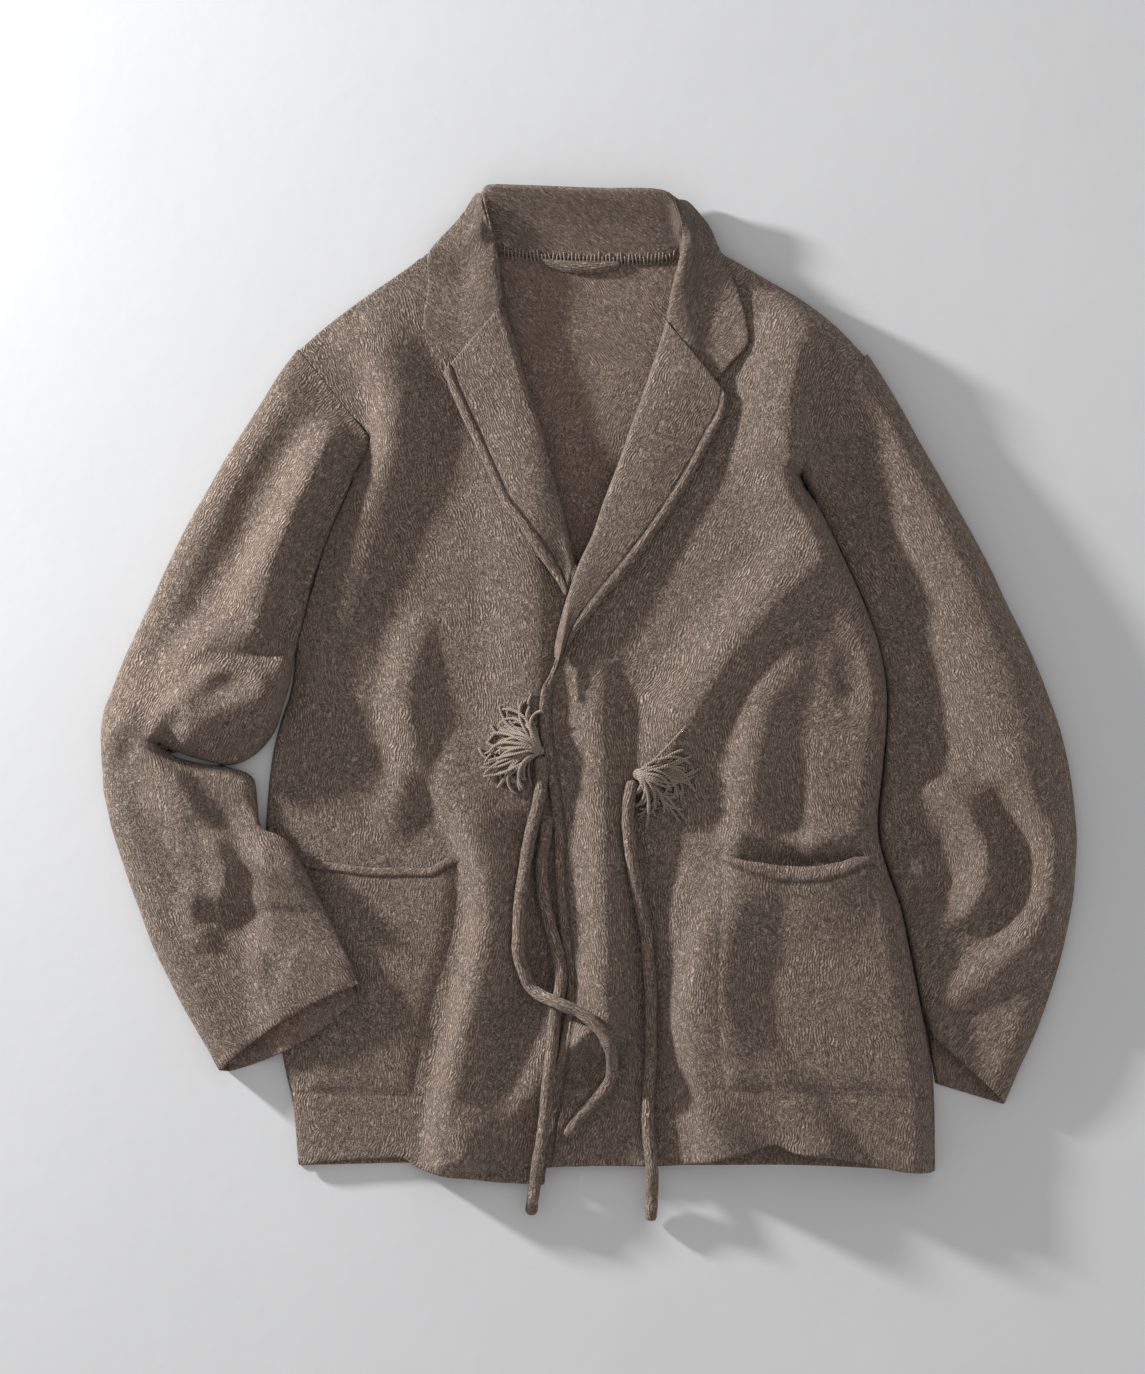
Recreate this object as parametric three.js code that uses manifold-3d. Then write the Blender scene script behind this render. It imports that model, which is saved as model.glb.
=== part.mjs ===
import * as THREE from 'three';
import Module from 'manifold-3d';

// Sizes in millimetres. Seen from above: +X to the wearer's left, +Y to the neck, Z up from the floor.
const backWall = 2.5;
const frontWall = 2.5;
const sleeveWall = 2.2;
const trimWall = 2.4;
const seamGap = 0.4;
const restGap = 1;
const sewnGap = 0.6;
const tieDiameter = 9.6;
const tieSides = 10;
const yarn = 1.7;
const clothColour = 0x7e7066;
const edgeHeight = 5.3;
const foldScale = 1.2;
const sideRound = 17;
const shoulderRound = 22;

// Outlines in plan, each row one point: x, y.
const rightArmhole = [[-225, 261], [-207, 238], [-189, 215], [-171, 193]];
const rightSide = [[-171, 193], [-185, 156], [-204, 112], [-219, 62], [-226, 34], [-231, -5],
  [-239, -30], [-245, -55], [-250, -106], [-250, -153], [-246, -207], [-242, -258], [-235, -301],
  [-229, -328], [-225, -374]];
const leftArmhole = [[216, 254], [203, 231], [190, 208], [178, 186], [165, 163]];
const leftSide = [[165, 163], [180, 136], [197, 101], [213, 66], [225, 33], [231, 3], [232, -23],
  [229, -63], [225, -114], [233, -147], [242, -172], [249, -204], [256, -239], [263, -278],
  [267, -317], [268, -379]];
const rightShoulder = [[-225, 261], [-204, 279], [-179, 298], [-147, 320], [-126, 334], [-104, 340],
  [-83, 342]];
const leftShoulder = [[84, 339], [96, 338], [109, 332], [135, 317], [166, 299], [193, 278], [216, 254]];
const rightInner = [[-83, 342], [-73, 324], [-67, 297], [-60, 275], [-54, 253], [-46, 225],
  [-37, 197], [-29, 163], [-21, 136], [-12, 103], [-4, 69], [1, 34], [5, -5], [5, -51], [3, -106],
  [-1, -153], [-8, -200], [-16, -239], [-23, -285], [-30, -332], [-36, -389]];
const leftInner = [[84, 339], [73, 324], [66, 306], [60, 285], [54, 262], [48, 244], [40, 220],
  [32, 198], [23, 172], [12, 144], [2, 115], [-8, 94], [-17, 69], [-23, 46], [-27, 23], [-35, -3],
  [-37, -28], [-34, -55], [-29, -87], [-26, -114], [-25, -145], [-23, -176], [-20, -204], [-17, -227],
  [-17, -249], [-21, -274], [-25, -301], [-30, -328], [-34, -352], [-37, -375]];
const rightHem = [[-225, -374], [-202, -371], [-171, -369], [-144, -369], [-135, -375], [-116, -382],
  [-85, -386], [-36, -389]];
const leftHem = [[-37, -375], [9, -374], [55, -374], [87, -371], [118, -364], [144, -357],
  [158, -363], [196, -368], [246, -378], [268, -379]];
const backNeck = [[-83, 342], [-70, 336], [-54, 334], [-23, 330], [24, 329], [58, 330], [69, 332],
  [84, 339]];
const backHem = [[-225, -374], [-132, -372], [-37, -373], [87, -374], [165, -374], [268, -379]];

// Folds of the body. Width on the west and east side of the crest, length of the end, then x, y, height.
const bodyFolds = [
  { west: 22, east: 42, tip: 22,
    line: [[-185, 270, 4], [-165, 254, 9], [-153, 222, 12], [-155, 183, 11], [-169, 144, 9],
      [-183, 97, 8], [-194, 58, 7], [-206, 19, 5], [-214, -12, 3]] },
  { west: 50, east: 26, tip: 30,
    line: [[-54, 190, 3], [-46, 128, 6], [-42, 66, 7], [-42, 3, 7], [-46, -44, 6], [-50, -90, 4]] },
  { west: 29, east: 22, tip: 20,
    line: [[-133, 44, 3], [-141, 3, 8], [-141, -36, 9], [-140, -67, 8], [-147, -90, 6],
      [-151, -108, 3]] },
  { west: 22, east: 22, tip: 22,
    line: [[-190, 27, -3], [-198, -12, -4], [-210, -59, -3], [-218, -90, -2]] },
  { west: 19, east: 48, tip: 24,
    line: [[-128, -50, 3], [-111, -83, 10], [-94, -114, 14], [-83, -145, 15], [-81, -184, 15],
      [-87, -223, 15], [-96, -262, 15], [-105, -301, 15], [-111, -340, 15], [-114, -375, 15]] },
  { west: 35, east: 24, tip: 20,
    line: [[-13, -246, 5], [-23, -278, 8], [-42, -313, 9], [-69, -344, 8], [-93, -371, 6]] },
  { west: 28, east: 26, tip: 11,
    line: [[1, 19, 3], [7, -12, 9], [10, -59, 11], [11, -106, 12], [12, -153, 13], [13, -200, 14],
      [13, -239, 14], [12, -270, 14], [10, -282, 13]] },
  { west: 12, east: 14, tip: 9, line: [[-10, -264, 5], [-7, -281, 6]] },
  { west: 40, east: 30, tip: 26,
    line: [[192, 108, 4], [165, 85, 8], [137, 59, 11], [110, 28, 12], [87, -5, 11], [67, -40, 9],
      [51, -75, 6], [48, -106, 3]] },
  { west: 50, east: 24, tip: 30,
    line: [[174, 285, 4], [161, 261, 9], [154, 222, 12], [153, 183, 12], [162, 144, 9],
      [180, 108, 6]] },
  { west: 22, east: 32, tip: 20,
    line: [[157, 23, 4], [135, -12, 7], [127, -51, 8], [122, -90, 7], [114, -118, 4]] },
  { west: 24, east: 24, tip: 22, line: [[157, -67, -3], [154, -94, -6], [158, -122, -5]] },
  { west: 20, east: 20, tip: 20, line: [[202, 16, -3], [205, -6, -4]] },
  { west: 20, east: 56, tip: 20,
    line: [[112, -123, 5], [104, -153, 10], [93, -184, 13], [84, -215, 14], [79, -246, 15],
      [77, -266, 15], [82, -293, 14], [89, -324, 13], [96, -356, 12], [99, -374, 11]] },
  { west: 40, east: 28, tip: 20,
    line: [[93, -219, 1], [108, -262, 5], [135, -305, 8], [165, -336, 9], [186, -362, 8]] },
  { west: 22, east: 22, tip: 20,
    line: [[51, -168, -2], [48, -246, -4], [51, -324, -4], [59, -371, -3]] },
  { west: 27, east: 14, tip: 16, line: [[90, -114, 2], [87, -145, 5], [75, -176, 5], [63, -204, 2]] },
];
const rightSleeveFolds = [
  { west: 32, east: 28, tip: 24,
    line: [[-177, 206, 8], [-206, 173, 11], [-229, 128, 12], [-245, 81, 12], [-261, 42, 12],
      [-292, 23, 11], [-323, -5, 9], [-350, -27, 7], [-372, -42, 5]] },
  { west: 24, east: 24, tip: 24,
    line: [[-225, 198, -3], [-255, 151, -4], [-276, 105, -4], [-300, 58, -3]] },
  { west: 21, east: 21, tip: 20,
    line: [[-186, 179, -8], [-208, 136, -10], [-225, 89, -10], [-237, 42, -8]] },
  { west: 19, east: 19, tip: 18, line: [[-202, 259, -4], [-190, 233, -5]] },
  { west: 14, east: 55, tip: 20,
    line: [[-233, 16, 9], [-261, 12, 11], [-292, 6, 11], [-315, -10, 10], [-333, -30, 8]] },
  { west: 31, east: 24, tip: 20,
    line: [[-341, -50, 6], [-323, -83, 10], [-301, -118, 12], [-286, -145, 10], [-294, -172, 7],
      [-300, -192, 5]] },
  { west: 21, east: 21, tip: 18,
    line: [[-292, -180, -6], [-257, -188, -8], [-218, -190, -7], [-186, -198, -5]] },
  { west: 11, east: 11, tip: 11, line: [[-243, -211, -4], [-245, -235, -3]] },
];
const leftSleeveFolds = [
  { west: 48, east: 40, tip: 40,
    line: [[227, 237, 3], [258, 167, 7], [285, 97, 9], [309, 34, 10], [328, -20, 10], [344, -67, 8]] },
  { west: 36, east: 36, tip: 30,
    line: [[184, 190, -5], [204, 128, -8], [231, 66, -8], [252, -5, -8], [262, -59, -6]] },
  { west: 16, east: 16, tip: 14,
    line: [[266, -81, 5], [291, -97, 8], [308, -126, 9], [308, -153, 9], [296, -175, 7],
      [274, -186, 4]] },
  { west: 24, east: 24, tip: 20,
    line: [[324, -59, 5], [348, -90, 8], [361, -129, 9], [358, -168, 9], [340, -200, 9],
      [317, -219, 8], [285, -243, 6]] },
  { west: 16, east: 16, tip: 16,
    line: [[321, -90, -4], [335, -129, -5], [328, -168, -5], [309, -196, -4]] },
  { west: 9, east: 9, tip: 8, line: [[249, -136, 5], [260, -147, 4]] },
  { west: 14, east: 14, tip: 14,
    line: [[243, -114, -5], [270, -122, -5], [282, -145, -5], [270, -168, -5], [246, -184, -4]] },
];

function smooth(t) {
  const k = Math.min(1, Math.max(0, t));
  return k * k * (3 - 2 * k);
}

// Nearest place on an open line: distance, side, value and whether it lies past an end.
// The side is positive to the east of a line that runs south.
function nearest(line, x, y) {
  let best = { away: Infinity, side: 1, value: 0, past: false };
  for (let i = 0; i + 1 < line.length; i += 1) {
    const [ax, ay, av = 0] = line[i];
    const [bx, by, bv = 0] = line[i + 1];
    const dx = bx - ax;
    const dy = by - ay;
    const raw = ((x - ax) * dx + (y - ay) * dy) / (dx * dx + dy * dy);
    const t = Math.min(1, Math.max(0, raw));
    const px = x - ax - dx * t;
    const py = y - ay - dy * t;
    const away = Math.hypot(px, py);
    if (away < best.away - 1e-9) {
      const beyond = (i === 0 && raw < 0) || (i === line.length - 2 && raw > 1);
      const side = dx * (y - ay) - dy * (x - ax) >= 0 ? 1 : -1;
      best = { away, side, value: av + (bv - av) * t, past: beyond };
    }
  }
  return best;
}

function foldsAt(folds, x, y) {
  let sum = 0;
  for (const fold of folds) {
    const found = nearest(fold.line, x, y);
    const across = found.side > 0 ? fold.east : fold.west;
    const width = found.past ? Math.min(across, fold.tip) : across;
    if (found.away < width) {
      sum += foldScale * found.value * (1 - (found.away / width) ** 2) ** 2;
    }
  }
  return sum;
}

function rounding(away, radius) {
  const t = Math.min(1, Math.max(0, away / radius));
  return Math.sqrt(1 - (1 - t) ** 2);
}

// Height of the laid body's upper surface over the floor.
function bodyHeight(x, y) {
  const neck = smooth((y - 220) / 80) * (1 - smooth((x - 100) / 70)) * smooth((x - 20) / 40);
  const bulk = 8 + 20 * smooth((x + 40) / 240) - 7 * neck;
  return Math.max(7, bulk + foldsAt(bodyFolds, x, y));
}

function bodyTop(x, y) {
  const side = Math.min(nearest(rightSide, x, y).away, nearest(leftSide, x, y).away);
  const shoulder = Math.min(nearest(rightShoulder, x, y).away, nearest(leftShoulder, x, y).away);
  const lift = rounding(side, sideRound) * rounding(shoulder, shoulderRound);
  return edgeHeight + (bodyHeight(x, y) - edgeHeight) * lift;
}

// A smooth line through the rows, read at a share of its length.
function guide(rows) {
  const curve = new THREE.CatmullRomCurve3(rows.map(([x, y, z = 0]) => new THREE.Vector3(x, y, z)), false,
    'centripetal');
  curve.arcLengthDivisions = 400;
  return (t) => curve.getPointAt(Math.min(1, Math.max(0, t)));
}

// Plan grid of a panel between four edges; left and right run from the top edge to the bottom edge.
function planGrid({ top, bottom, left, right }, across, down) {
  const edges = [top, bottom, left, right].map(guide);
  const corner = [edges[0](0), edges[0](1), edges[1](0), edges[1](1)];
  return down.map((v) => across.map((u) => {
    const p = new THREE.Vector3();
    p.addScaledVector(edges[0](u), 1 - v).addScaledVector(edges[1](u), v);
    p.addScaledVector(edges[2](v), 1 - u).addScaledVector(edges[3](v), u);
    p.addScaledVector(corner[0], -(1 - u) * (1 - v)).addScaledVector(corner[1], -u * (1 - v));
    p.addScaledVector(corner[2], -(1 - u) * v).addScaledVector(corner[3], -u * v);
    return { x: p.x, y: p.y, u, v };
  }));
}

function steps(count, power = 1) {
  return Array.from({ length: count + 1 }, (_, i) => (i / count) ** power);
}

function gridNormals(grid, closed) {
  const rows = grid.length;
  const cols = grid[0].length;
  const at = (r, c) => grid[Math.min(rows - 1, Math.max(0, r))][closed ? (c + cols) % cols
    : Math.min(cols - 1, Math.max(0, c))];
  return grid.map((row, r) => row.map((_, c) => {
    const across = at(r, c + 1).clone().sub(at(r, c - 1));
    const along = at(r + 1, c).clone().sub(at(r - 1, c));
    return across.cross(along).normalize();
  }));
}

function volumeOf(points, faces) {
  let sum = 0;
  for (const [a, b, c] of faces) {
    sum += points[a].dot(points[b].clone().cross(points[c])) / 6;
  }
  return sum;
}

function solid(points, faces) {
  const out = volumeOf(points, faces) < 0 ? faces.map(([a, b, c]) => [a, c, b]) : faces;
  const geometry = new THREE.BufferGeometry();
  const numbers = points.flatMap((p) => [p.x, p.y, p.z]);
  geometry.setAttribute('position', new THREE.Float32BufferAttribute(numbers, 3));
  geometry.setIndex(out.flat());
  geometry.computeVertexNormals();
  return geometry;
}

// A closed wall between two grids of the same size; closed grids join their last column to the first.
function wallBetween(outer, inner, closed = false) {
  const rows = outer.length;
  const cols = outer[0].length;
  const points = [...outer.flat(), ...inner.flat()];
  const at = (layer, r, c) => layer * rows * cols + r * cols + (closed ? (c + cols) % cols : c);
  const faces = [];
  const quad = (a, b, c, d) => {
    const short = points[a].distanceTo(points[c]) <= points[b].distanceTo(points[d]);
    if (short) {
      faces.push([a, b, c], [a, c, d]);
    } else {
      faces.push([a, b, d], [b, c, d]);
    }
  };
  const last = closed ? cols : cols - 1;
  for (let r = 0; r + 1 < rows; r += 1) {
    for (let c = 0; c < last; c += 1) {
      quad(at(0, r, c), at(0, r, c + 1), at(0, r + 1, c + 1), at(0, r + 1, c));
      quad(at(1, r + 1, c), at(1, r + 1, c + 1), at(1, r, c + 1), at(1, r, c));
    }
    if (!closed) {
      quad(at(0, r + 1, 0), at(1, r + 1, 0), at(1, r, 0), at(0, r, 0));
      quad(at(0, r, last), at(1, r, last), at(1, r + 1, last), at(0, r + 1, last));
    }
  }
  for (let c = 0; c < last; c += 1) {
    quad(at(1, 0, c), at(1, 0, c + 1), at(0, 0, c + 1), at(0, 0, c));
    quad(at(0, rows - 1, c), at(0, rows - 1, c + 1), at(1, rows - 1, c + 1), at(1, rows - 1, c));
  }
  return solid(points, faces);
}

// A wall made from its outer points, moved inward by its thickness.
function sheetFrom(outer, thick, closed = false, flip = 1) {
  const normals = gridNormals(outer, closed);
  const inset = (p, r, c) => p.clone().addScaledVector(normals[r][c], -flip * thick);
  const inner = outer.map((row, r) => row.map((p, c) => inset(p, r, c)));
  return wallBetween(outer, inner, closed);
}

// Solids for joins and cuts.
const wasm = await Module();
wasm.setup();

function toManifold(geometry) {
  const clean = new Map();
  const index = [];
  const vert = [];
  const position = geometry.getAttribute('position');
  const order = geometry.index ? geometry.index.array : Array.from({ length: position.count }, (_, i) => i);
  for (const i of order) {
    const p = [position.getX(i), position.getY(i), position.getZ(i)];
    const key = p.map((v) => v.toFixed(5)).join();
    if (!clean.has(key)) {
      clean.set(key, vert.length / 3);
      vert.push(...p);
    }
    index.push(clean.get(key));
  }
  return new wasm.Manifold(new wasm.Mesh({ numProp: 3, vertProperties: new Float32Array(vert),
    triVerts: new Uint32Array(index) }));
}

function fromManifold(body) {
  const mesh = body.getMesh();
  const geometry = new THREE.BufferGeometry();
  geometry.setAttribute('position', new THREE.Float32BufferAttribute(Array.from(mesh.vertProperties), 3));
  geometry.setIndex(Array.from(mesh.triVerts));
  geometry.computeVertexNormals();
  return geometry;
}

const group = new THREE.Group();

function addPiece(name, geometry, shade = clothColour) {
  const material = new THREE.MeshStandardMaterial({ color: shade, roughness: 0.95, metalness: 0 });
  const mesh = new THREE.Mesh(geometry, material);
  mesh.name = name;
  group.add(mesh);
}

// Back: a flat wall on the floor, its edge a little inside the fronts.
const backInset = 1.6;
const moved = (rows, dx, dy) => rows.map(([x, y]) => [x + dx, y + dy]);
const backPlan = planGrid({
  top: [...moved(rightShoulder.slice(0, -1), backInset, -backInset), ...backNeck,
    ...moved(leftShoulder.slice(1), -backInset, -backInset)],
  bottom: [[backHem[0][0] + backInset, backHem[0][1]], ...backHem.slice(1, -1),
    [backHem.at(-1)[0] - backInset, backHem.at(-1)[1]]],
  left: [...moved(rightArmhole.slice(0, -1), backInset, 0), ...moved(rightSide.slice(0, 1), 9, 0),
    ...moved(rightSide.slice(1), backInset, 0)],
  right: [...moved(leftArmhole.slice(0, -1), -backInset, 0), ...moved(leftSide.slice(0, 1), -9, 0),
    ...moved(leftSide.slice(1), -backInset, 0)],
}, steps(12), steps(18));
addPiece('back', wallBetween(
  backPlan.map((row) => row.map((p) => new THREE.Vector3(p.x, p.y, backWall))),
  backPlan.map((row) => row.map((p) => new THREE.Vector3(p.x, p.y, 0))),
));

// Fronts: walls over the back, rounded down to it along the side and the shoulder.
const nearSide = [0, 0.007, 0.022, 0.045, 0.075, 0.11];
const frontAcross = [...nearSide, ...Array.from({ length: 11 }, (_, i) => 0.16 + (i * 0.84) / 10)];
const nearShoulder = [0, 0.002, 0.007, 0.014, 0.024];
const frontDown = [...nearShoulder, ...Array.from({ length: 29 }, (_, i) => 0.042 + (i * 0.958) / 28)];
const rightPlan = planGrid({
  top: rightShoulder,
  bottom: rightHem,
  left: [...rightArmhole, ...rightSide.slice(1)],
  right: rightInner,
}, frontAcross, frontDown);
const leftPlan = planGrid({
  top: [...leftShoulder].reverse(),
  bottom: [...leftHem].reverse(),
  left: [...leftArmhole, ...leftSide.slice(1)],
  right: leftInner,
}, frontAcross, frontDown);

// The left front laps over the right one, whose covered margin lies low.
function lapOver(x, y) {
  const edge = nearest(leftInner, x, y);
  const below = smooth((-y + 40) / 60);
  return edge.side > 0 ? smooth(edge.away / 14) * below : 0;
}

function rightTop(x, y) {
  const top = bodyTop(x, y);
  return top + (5.7 - top) * lapOver(x, y) * 0.98;
}

function leftTop(x, y) {
  const near = 1 - smooth((nearest(leftInner, x, y).away - 20) / 45);
  return bodyTop(x, y) + 4.2 * near;
}

function onTop(plan, height) {
  return plan.map((row) => row.map((p) => new THREE.Vector3(p.x, p.y, height(p.x, p.y))));
}

const rightGrid = onTop(rightPlan, rightTop);
const leftGrid = onTop(leftPlan, leftTop);
addPiece('right_front', sheetFrom(rightGrid, frontWall, false, -1));
addPiece('left_front', sheetFrom(leftGrid, frontWall));

// Height of a grid's faces over a place in plan, or the height it is given where there is none.
function reader(grid, otherwise) {
  const faces = [];
  for (let r = 0; r + 1 < grid.length; r += 1) {
    for (let c = 0; c + 1 < grid[0].length; c += 1) {
      const [p, q, s, t] = [grid[r][c], grid[r][c + 1], grid[r + 1][c + 1], grid[r + 1][c]];
      const short = p.distanceTo(s) <= q.distanceTo(t);
      faces.push(...(short ? [[p, q, s], [p, s, t]] : [[p, q, t], [q, s, t]]));
    }
  }
  return (x, y) => {
    let top = -Infinity;
    for (const [a, b, c] of faces) {
      const area = (b.x - a.x) * (c.y - a.y) - (c.x - a.x) * (b.y - a.y);
      const wb = ((x - a.x) * (c.y - a.y) - (c.x - a.x) * (y - a.y)) / area;
      const wc = ((b.x - a.x) * (y - a.y) - (x - a.x) * (b.y - a.y)) / area;
      if (wb >= -1e-6 && wc >= -1e-6 && wb + wc <= 1 + 1e-6) {
        top = Math.max(top, a.z + (b.z - a.z) * wb + (c.z - a.z) * wc);
      }
    }
    return top === -Infinity ? otherwise(x, y) : top;
  };
}
const rightFace = reader(rightGrid, rightTop);
const leftFace = reader(leftGrid, leftTop);
const outsideOf = () => -Infinity;
const onlyRight = reader(rightGrid, outsideOf);
const onlyLeft = reader(leftGrid, outsideOf);

// A piece that lies on a panel: the panel's points, moved out along its slope.
function lift(x, y, height, out) {
  const d = 1.5;
  const slopeX = (height(x + d, y) - height(x - d, y)) / (2 * d);
  const slopeY = (height(x, y + d) - height(x, y - d)) / (2 * d);
  const n = new THREE.Vector3(-slopeX, -slopeY, 1).normalize();
  return new THREE.Vector3(x, y, height(x, y)).addScaledVector(n, out);
}

// Lapels: rolled at the neck line, loose at the outer edge, which ends in a raised edging.
const lapelDown = steps(12);
const rightLapelPlan = planGrid({
  top: [[-67, 295], [-76, 284], [-88, 270], [-100, 256], [-112, 243]],
  bottom: [[-11, 95], [-20, 70]],
  left: [[-67, 295], [-60, 275], [-54, 253], [-46, 225], [-37, 197], [-29, 163], [-21, 136], [-11, 95]],
  right: [[-112, 243], [-107, 229], [-93, 198], [-77, 165], [-66, 141], [-54, 125], [-38, 98], [-20, 70]],
}, steps(1), lapelDown);
const leftLapelPlan = planGrid({
  top: [[60, 282], [69, 264], [77, 252], [85, 242], [95, 232], [108, 222]],
  bottom: [[-27, 23], [-34, 0]],
  left: [[60, 282], [54, 262], [48, 244], [40, 220], [32, 198], [23, 172], [12, 144], [2, 115], [-8, 94],
  [-17, 69], [-23, 46], [-27, 23]],
  right: [[108, 222], [104, 206], [96, 193], [80, 163], [62, 134], [40, 103], [16, 73], [1, 54],
    [-15, 33],
  [-34, 0]],
}, steps(1), lapelDown);

function lapel(plan, height, loose) {
  const outer = [];
  const inner = [];
  for (const row of plan) {
    const [roll, rim] = [row[0], row[row.length - 1]];
    const width = Math.hypot(rim.x - roll.x, rim.y - roll.y);
    const round = Math.min(6, width * 0.3);
    const edging = Math.min(7, width * 0.2);
    const share = [0, 0.05, 0.25, 0.6, 1].map((t) => (t * round) / width);
    const middle = [0.25, 0.5, 0.75].map((t) => (round + (width - round - edging) * t) / width);
    const rims = [1.06, 0.92, 0.75, 0.25, 0].map((t) => 1 - (t * edging) / width);
    const stations = [...share, ...middle, ...rims];
    const above = stations.map((t) => {
      const away = t * width;
      const fold = rounding(away, round);
      const ease = 1 - smooth((away - round) / (width * 0.45));
      const rise = loose * smooth(t) + 4.2 * ease * fold;
      const border = t > 1 - (0.8 * edging) / width ? 1.1 : 0;
      return { t, rise: restGap + trimWall * (0.15 + 0.85 * fold) + rise + border, border, fold };
    });
    outer.push(above.map(({ t, rise }) => {
      const x = roll.x + (rim.x - roll.x) * t;
      const y = roll.y + (rim.y - roll.y) * t;
      return lift(x, y, height, rise);
    }));
    inner.push(above.map(({ t, rise, border, fold }, i) => {
      const shift = (trimWall / width) * (1 - fold);
      const s = Math.min(1, t + shift);
      const x = roll.x + (rim.x - roll.x) * s;
      const y = roll.y + (rim.y - roll.y) * s;
      return lift(x, y, height, i === 0 ? restGap : Math.max(restGap, rise - border - trimWall));
    }));
  }
  return wallBetween(outer, inner);
}

addPiece('right_lapel', lapel(rightLapelPlan, rightFace, 3));
addPiece('left_lapel', lapel(leftLapelPlan, leftFace, 4));

// Collar: from the neck seam up to the roll and down its fall; lean 1 has the fall on top, -1 the stand.
const collarRows = [
  [-75.5, 299.5, 0, -67, 297, 5, 1, -101.5, 256.5, -128.5, 275.5],
  [-78, 310.5, 0, -68, 309, 5, 1, -100, 277.5, -127, 291.5],
  [-79, 323, 0, -69.5, 322, 6, 1, -98.5, 301, -124, 310.5],
  [-77, 332.5, 0, -71, 334.5, 8, 1, -97.5, 321.5, -125, 332.5],
  [-70, 337.5, 1, -74, 347, 15, 0.6, -96, 341, -116, 345],
  [-69.5, 337.5, 1, -77, 359, 19, 0.2, -93, 354, -103, 360.5],
  [-68, 337.5, 1, -80.5, 370.5, 21, -0.2, -88, 366.5, -94.5, 370.5],
  [-65.5, 337, 1, -82.5, 380.5, 22, -0.6, -82, 375, -85, 376.5],
  [-60, 336.5, 1, -79, 387.5, 22, -1, -69.5, 369.5, -64.5, 357],
  [-44.5, 335, 1, -60, 388, 22, -1, -49, 368, -44.5, 349.5],
  [-22.5, 332.5, 1, -28, 387, 22, -1, -22.5, 367.5, -21, 346.5],
  [8.5, 330.5, 1, 8.5, 385.5, 22, -1, 8.5, 366, 8.5, 345.5],
  [40, 330.5, 1, 40, 384.5, 23, -1, 36.5, 365, 35, 346.5],
  [57, 331.5, 1, 53, 382.5, 24, -0.9, 49, 366.5, 46, 352.5],
  [64.5, 333, 1, 61.5, 376, 25, -0.5, 64.5, 369.5, 66.5, 365],
  [67, 334.5, 1, 68, 367.5, 25, -0.1, 74, 368, 80.5, 369.5],
  [68.5, 335.5, 1, 72, 357, 24, 0.3, 82, 359, 92, 357],
  [70, 336, 1, 72.5, 346.5, 20, 0.7, 86, 345, 99, 340],
  [75.5, 332.5, 0, 71, 335.5, 12, 1, 87.5, 327.5, 105.5, 327.5],
  [75, 321.5, 0, 68, 323, 10, 1, 89, 309, 112.5, 310.5],
  [72.5, 309.5, 0, 64.5, 309.5, 9, 1, 90.5, 288, 118.5, 294],
  [68.5, 285.5, 0, 60, 285.5, 7, 1, 96.5, 238, 124, 264.5],
];
function collar() {
  const rows = collarRows.map(([nx, ny, flat, rx, ry, rz, lean, mx, my, ex, ey]) => {
    const ground = (x, y) => (x < 0 ? rightFace(x, y) : leftFace(x, y));
    const seamZ = flat ? backWall + 0.6 + trimWall : ground(nx, ny) + 1.6;
    const seam = new THREE.Vector3(nx, ny, seamZ);
    const rollZ = flat ? rz : seamZ + rz;
    const roll = new THREE.Vector3(rx, ry, rollZ);
    const over = (x, y, above) => {
      const line = nearest(x < 0 ? rightShoulder : leftShoulder, x, y);
      const onBody = line.side < 0 || line.away > 90;
      const below = Math.max(onBody ? ground(x, y) : 0.4, (onBody ? 13 : 14) - line.away * 0.3);
      return below + 1 + trimWall + above;
    };
    const hidden = lean < -0.7;
    const mid = new THREE.Vector3(mx, my, hidden ? 6.5 : over(mx, my, 3));
    const end = new THREE.Vector3(ex, ey, hidden ? 0.9 : over(ex, ey, 0.6));
    const toSeam = new THREE.Vector3(nx - rx, ny - ry, 0).normalize();
    const toFall = new THREE.Vector3(mx - rx, my - ry, 0).normalize();
    const turn = 3.8;
    const inside = roll.clone().addScaledVector(toSeam, turn);
    inside.z += -turn * lean - 1.2 * (1 - Math.abs(lean));
    const outside = roll.clone().addScaledVector(toFall, turn);
    outside.z += turn * lean - 1.2 * (1 - Math.abs(lean));
    roll.z += 1.2 * (1 - Math.abs(lean));
    const standMid = seam.clone().lerp(inside, 0.5);
    standMid.z -= flat ? 1.5 : 0;
    const crest = outside.clone().lerp(mid, 0.35);
    crest.z += lean > 0 ? 1.8 : 0.3;
    const crease = new THREE.Vector3().lerpVectors(roll, inside, 0.42);
    crease.z = roll.z + (inside.z - roll.z) * 0.72;
    const shoulder = new THREE.Vector3().lerpVectors(roll, outside, 0.42);
    shoulder.z = roll.z + (outside.z - roll.z) * 0.72;
    const last = mid.clone().lerp(end, 0.55);
    return [seam, standMid, inside, crease, roll, shoulder, outside, crest, mid, last, end];
  });
  const lines = rows[0].map((_, c) => {
    const curve = new THREE.CatmullRomCurve3(rows.map((row) => row[c]), false, 'centripetal');
    return (r) => curve.getPoint(r);
  });
  const count = rows.length - 1;
  const along = Array.from({ length: 33 }, (_, i) => i / 32);
  const grid = along.map((v) => lines.map((at) => at(v)));
  return sheetFrom(grid, trimWall, false, -1);
}
addPiece('collar', collar());

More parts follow.
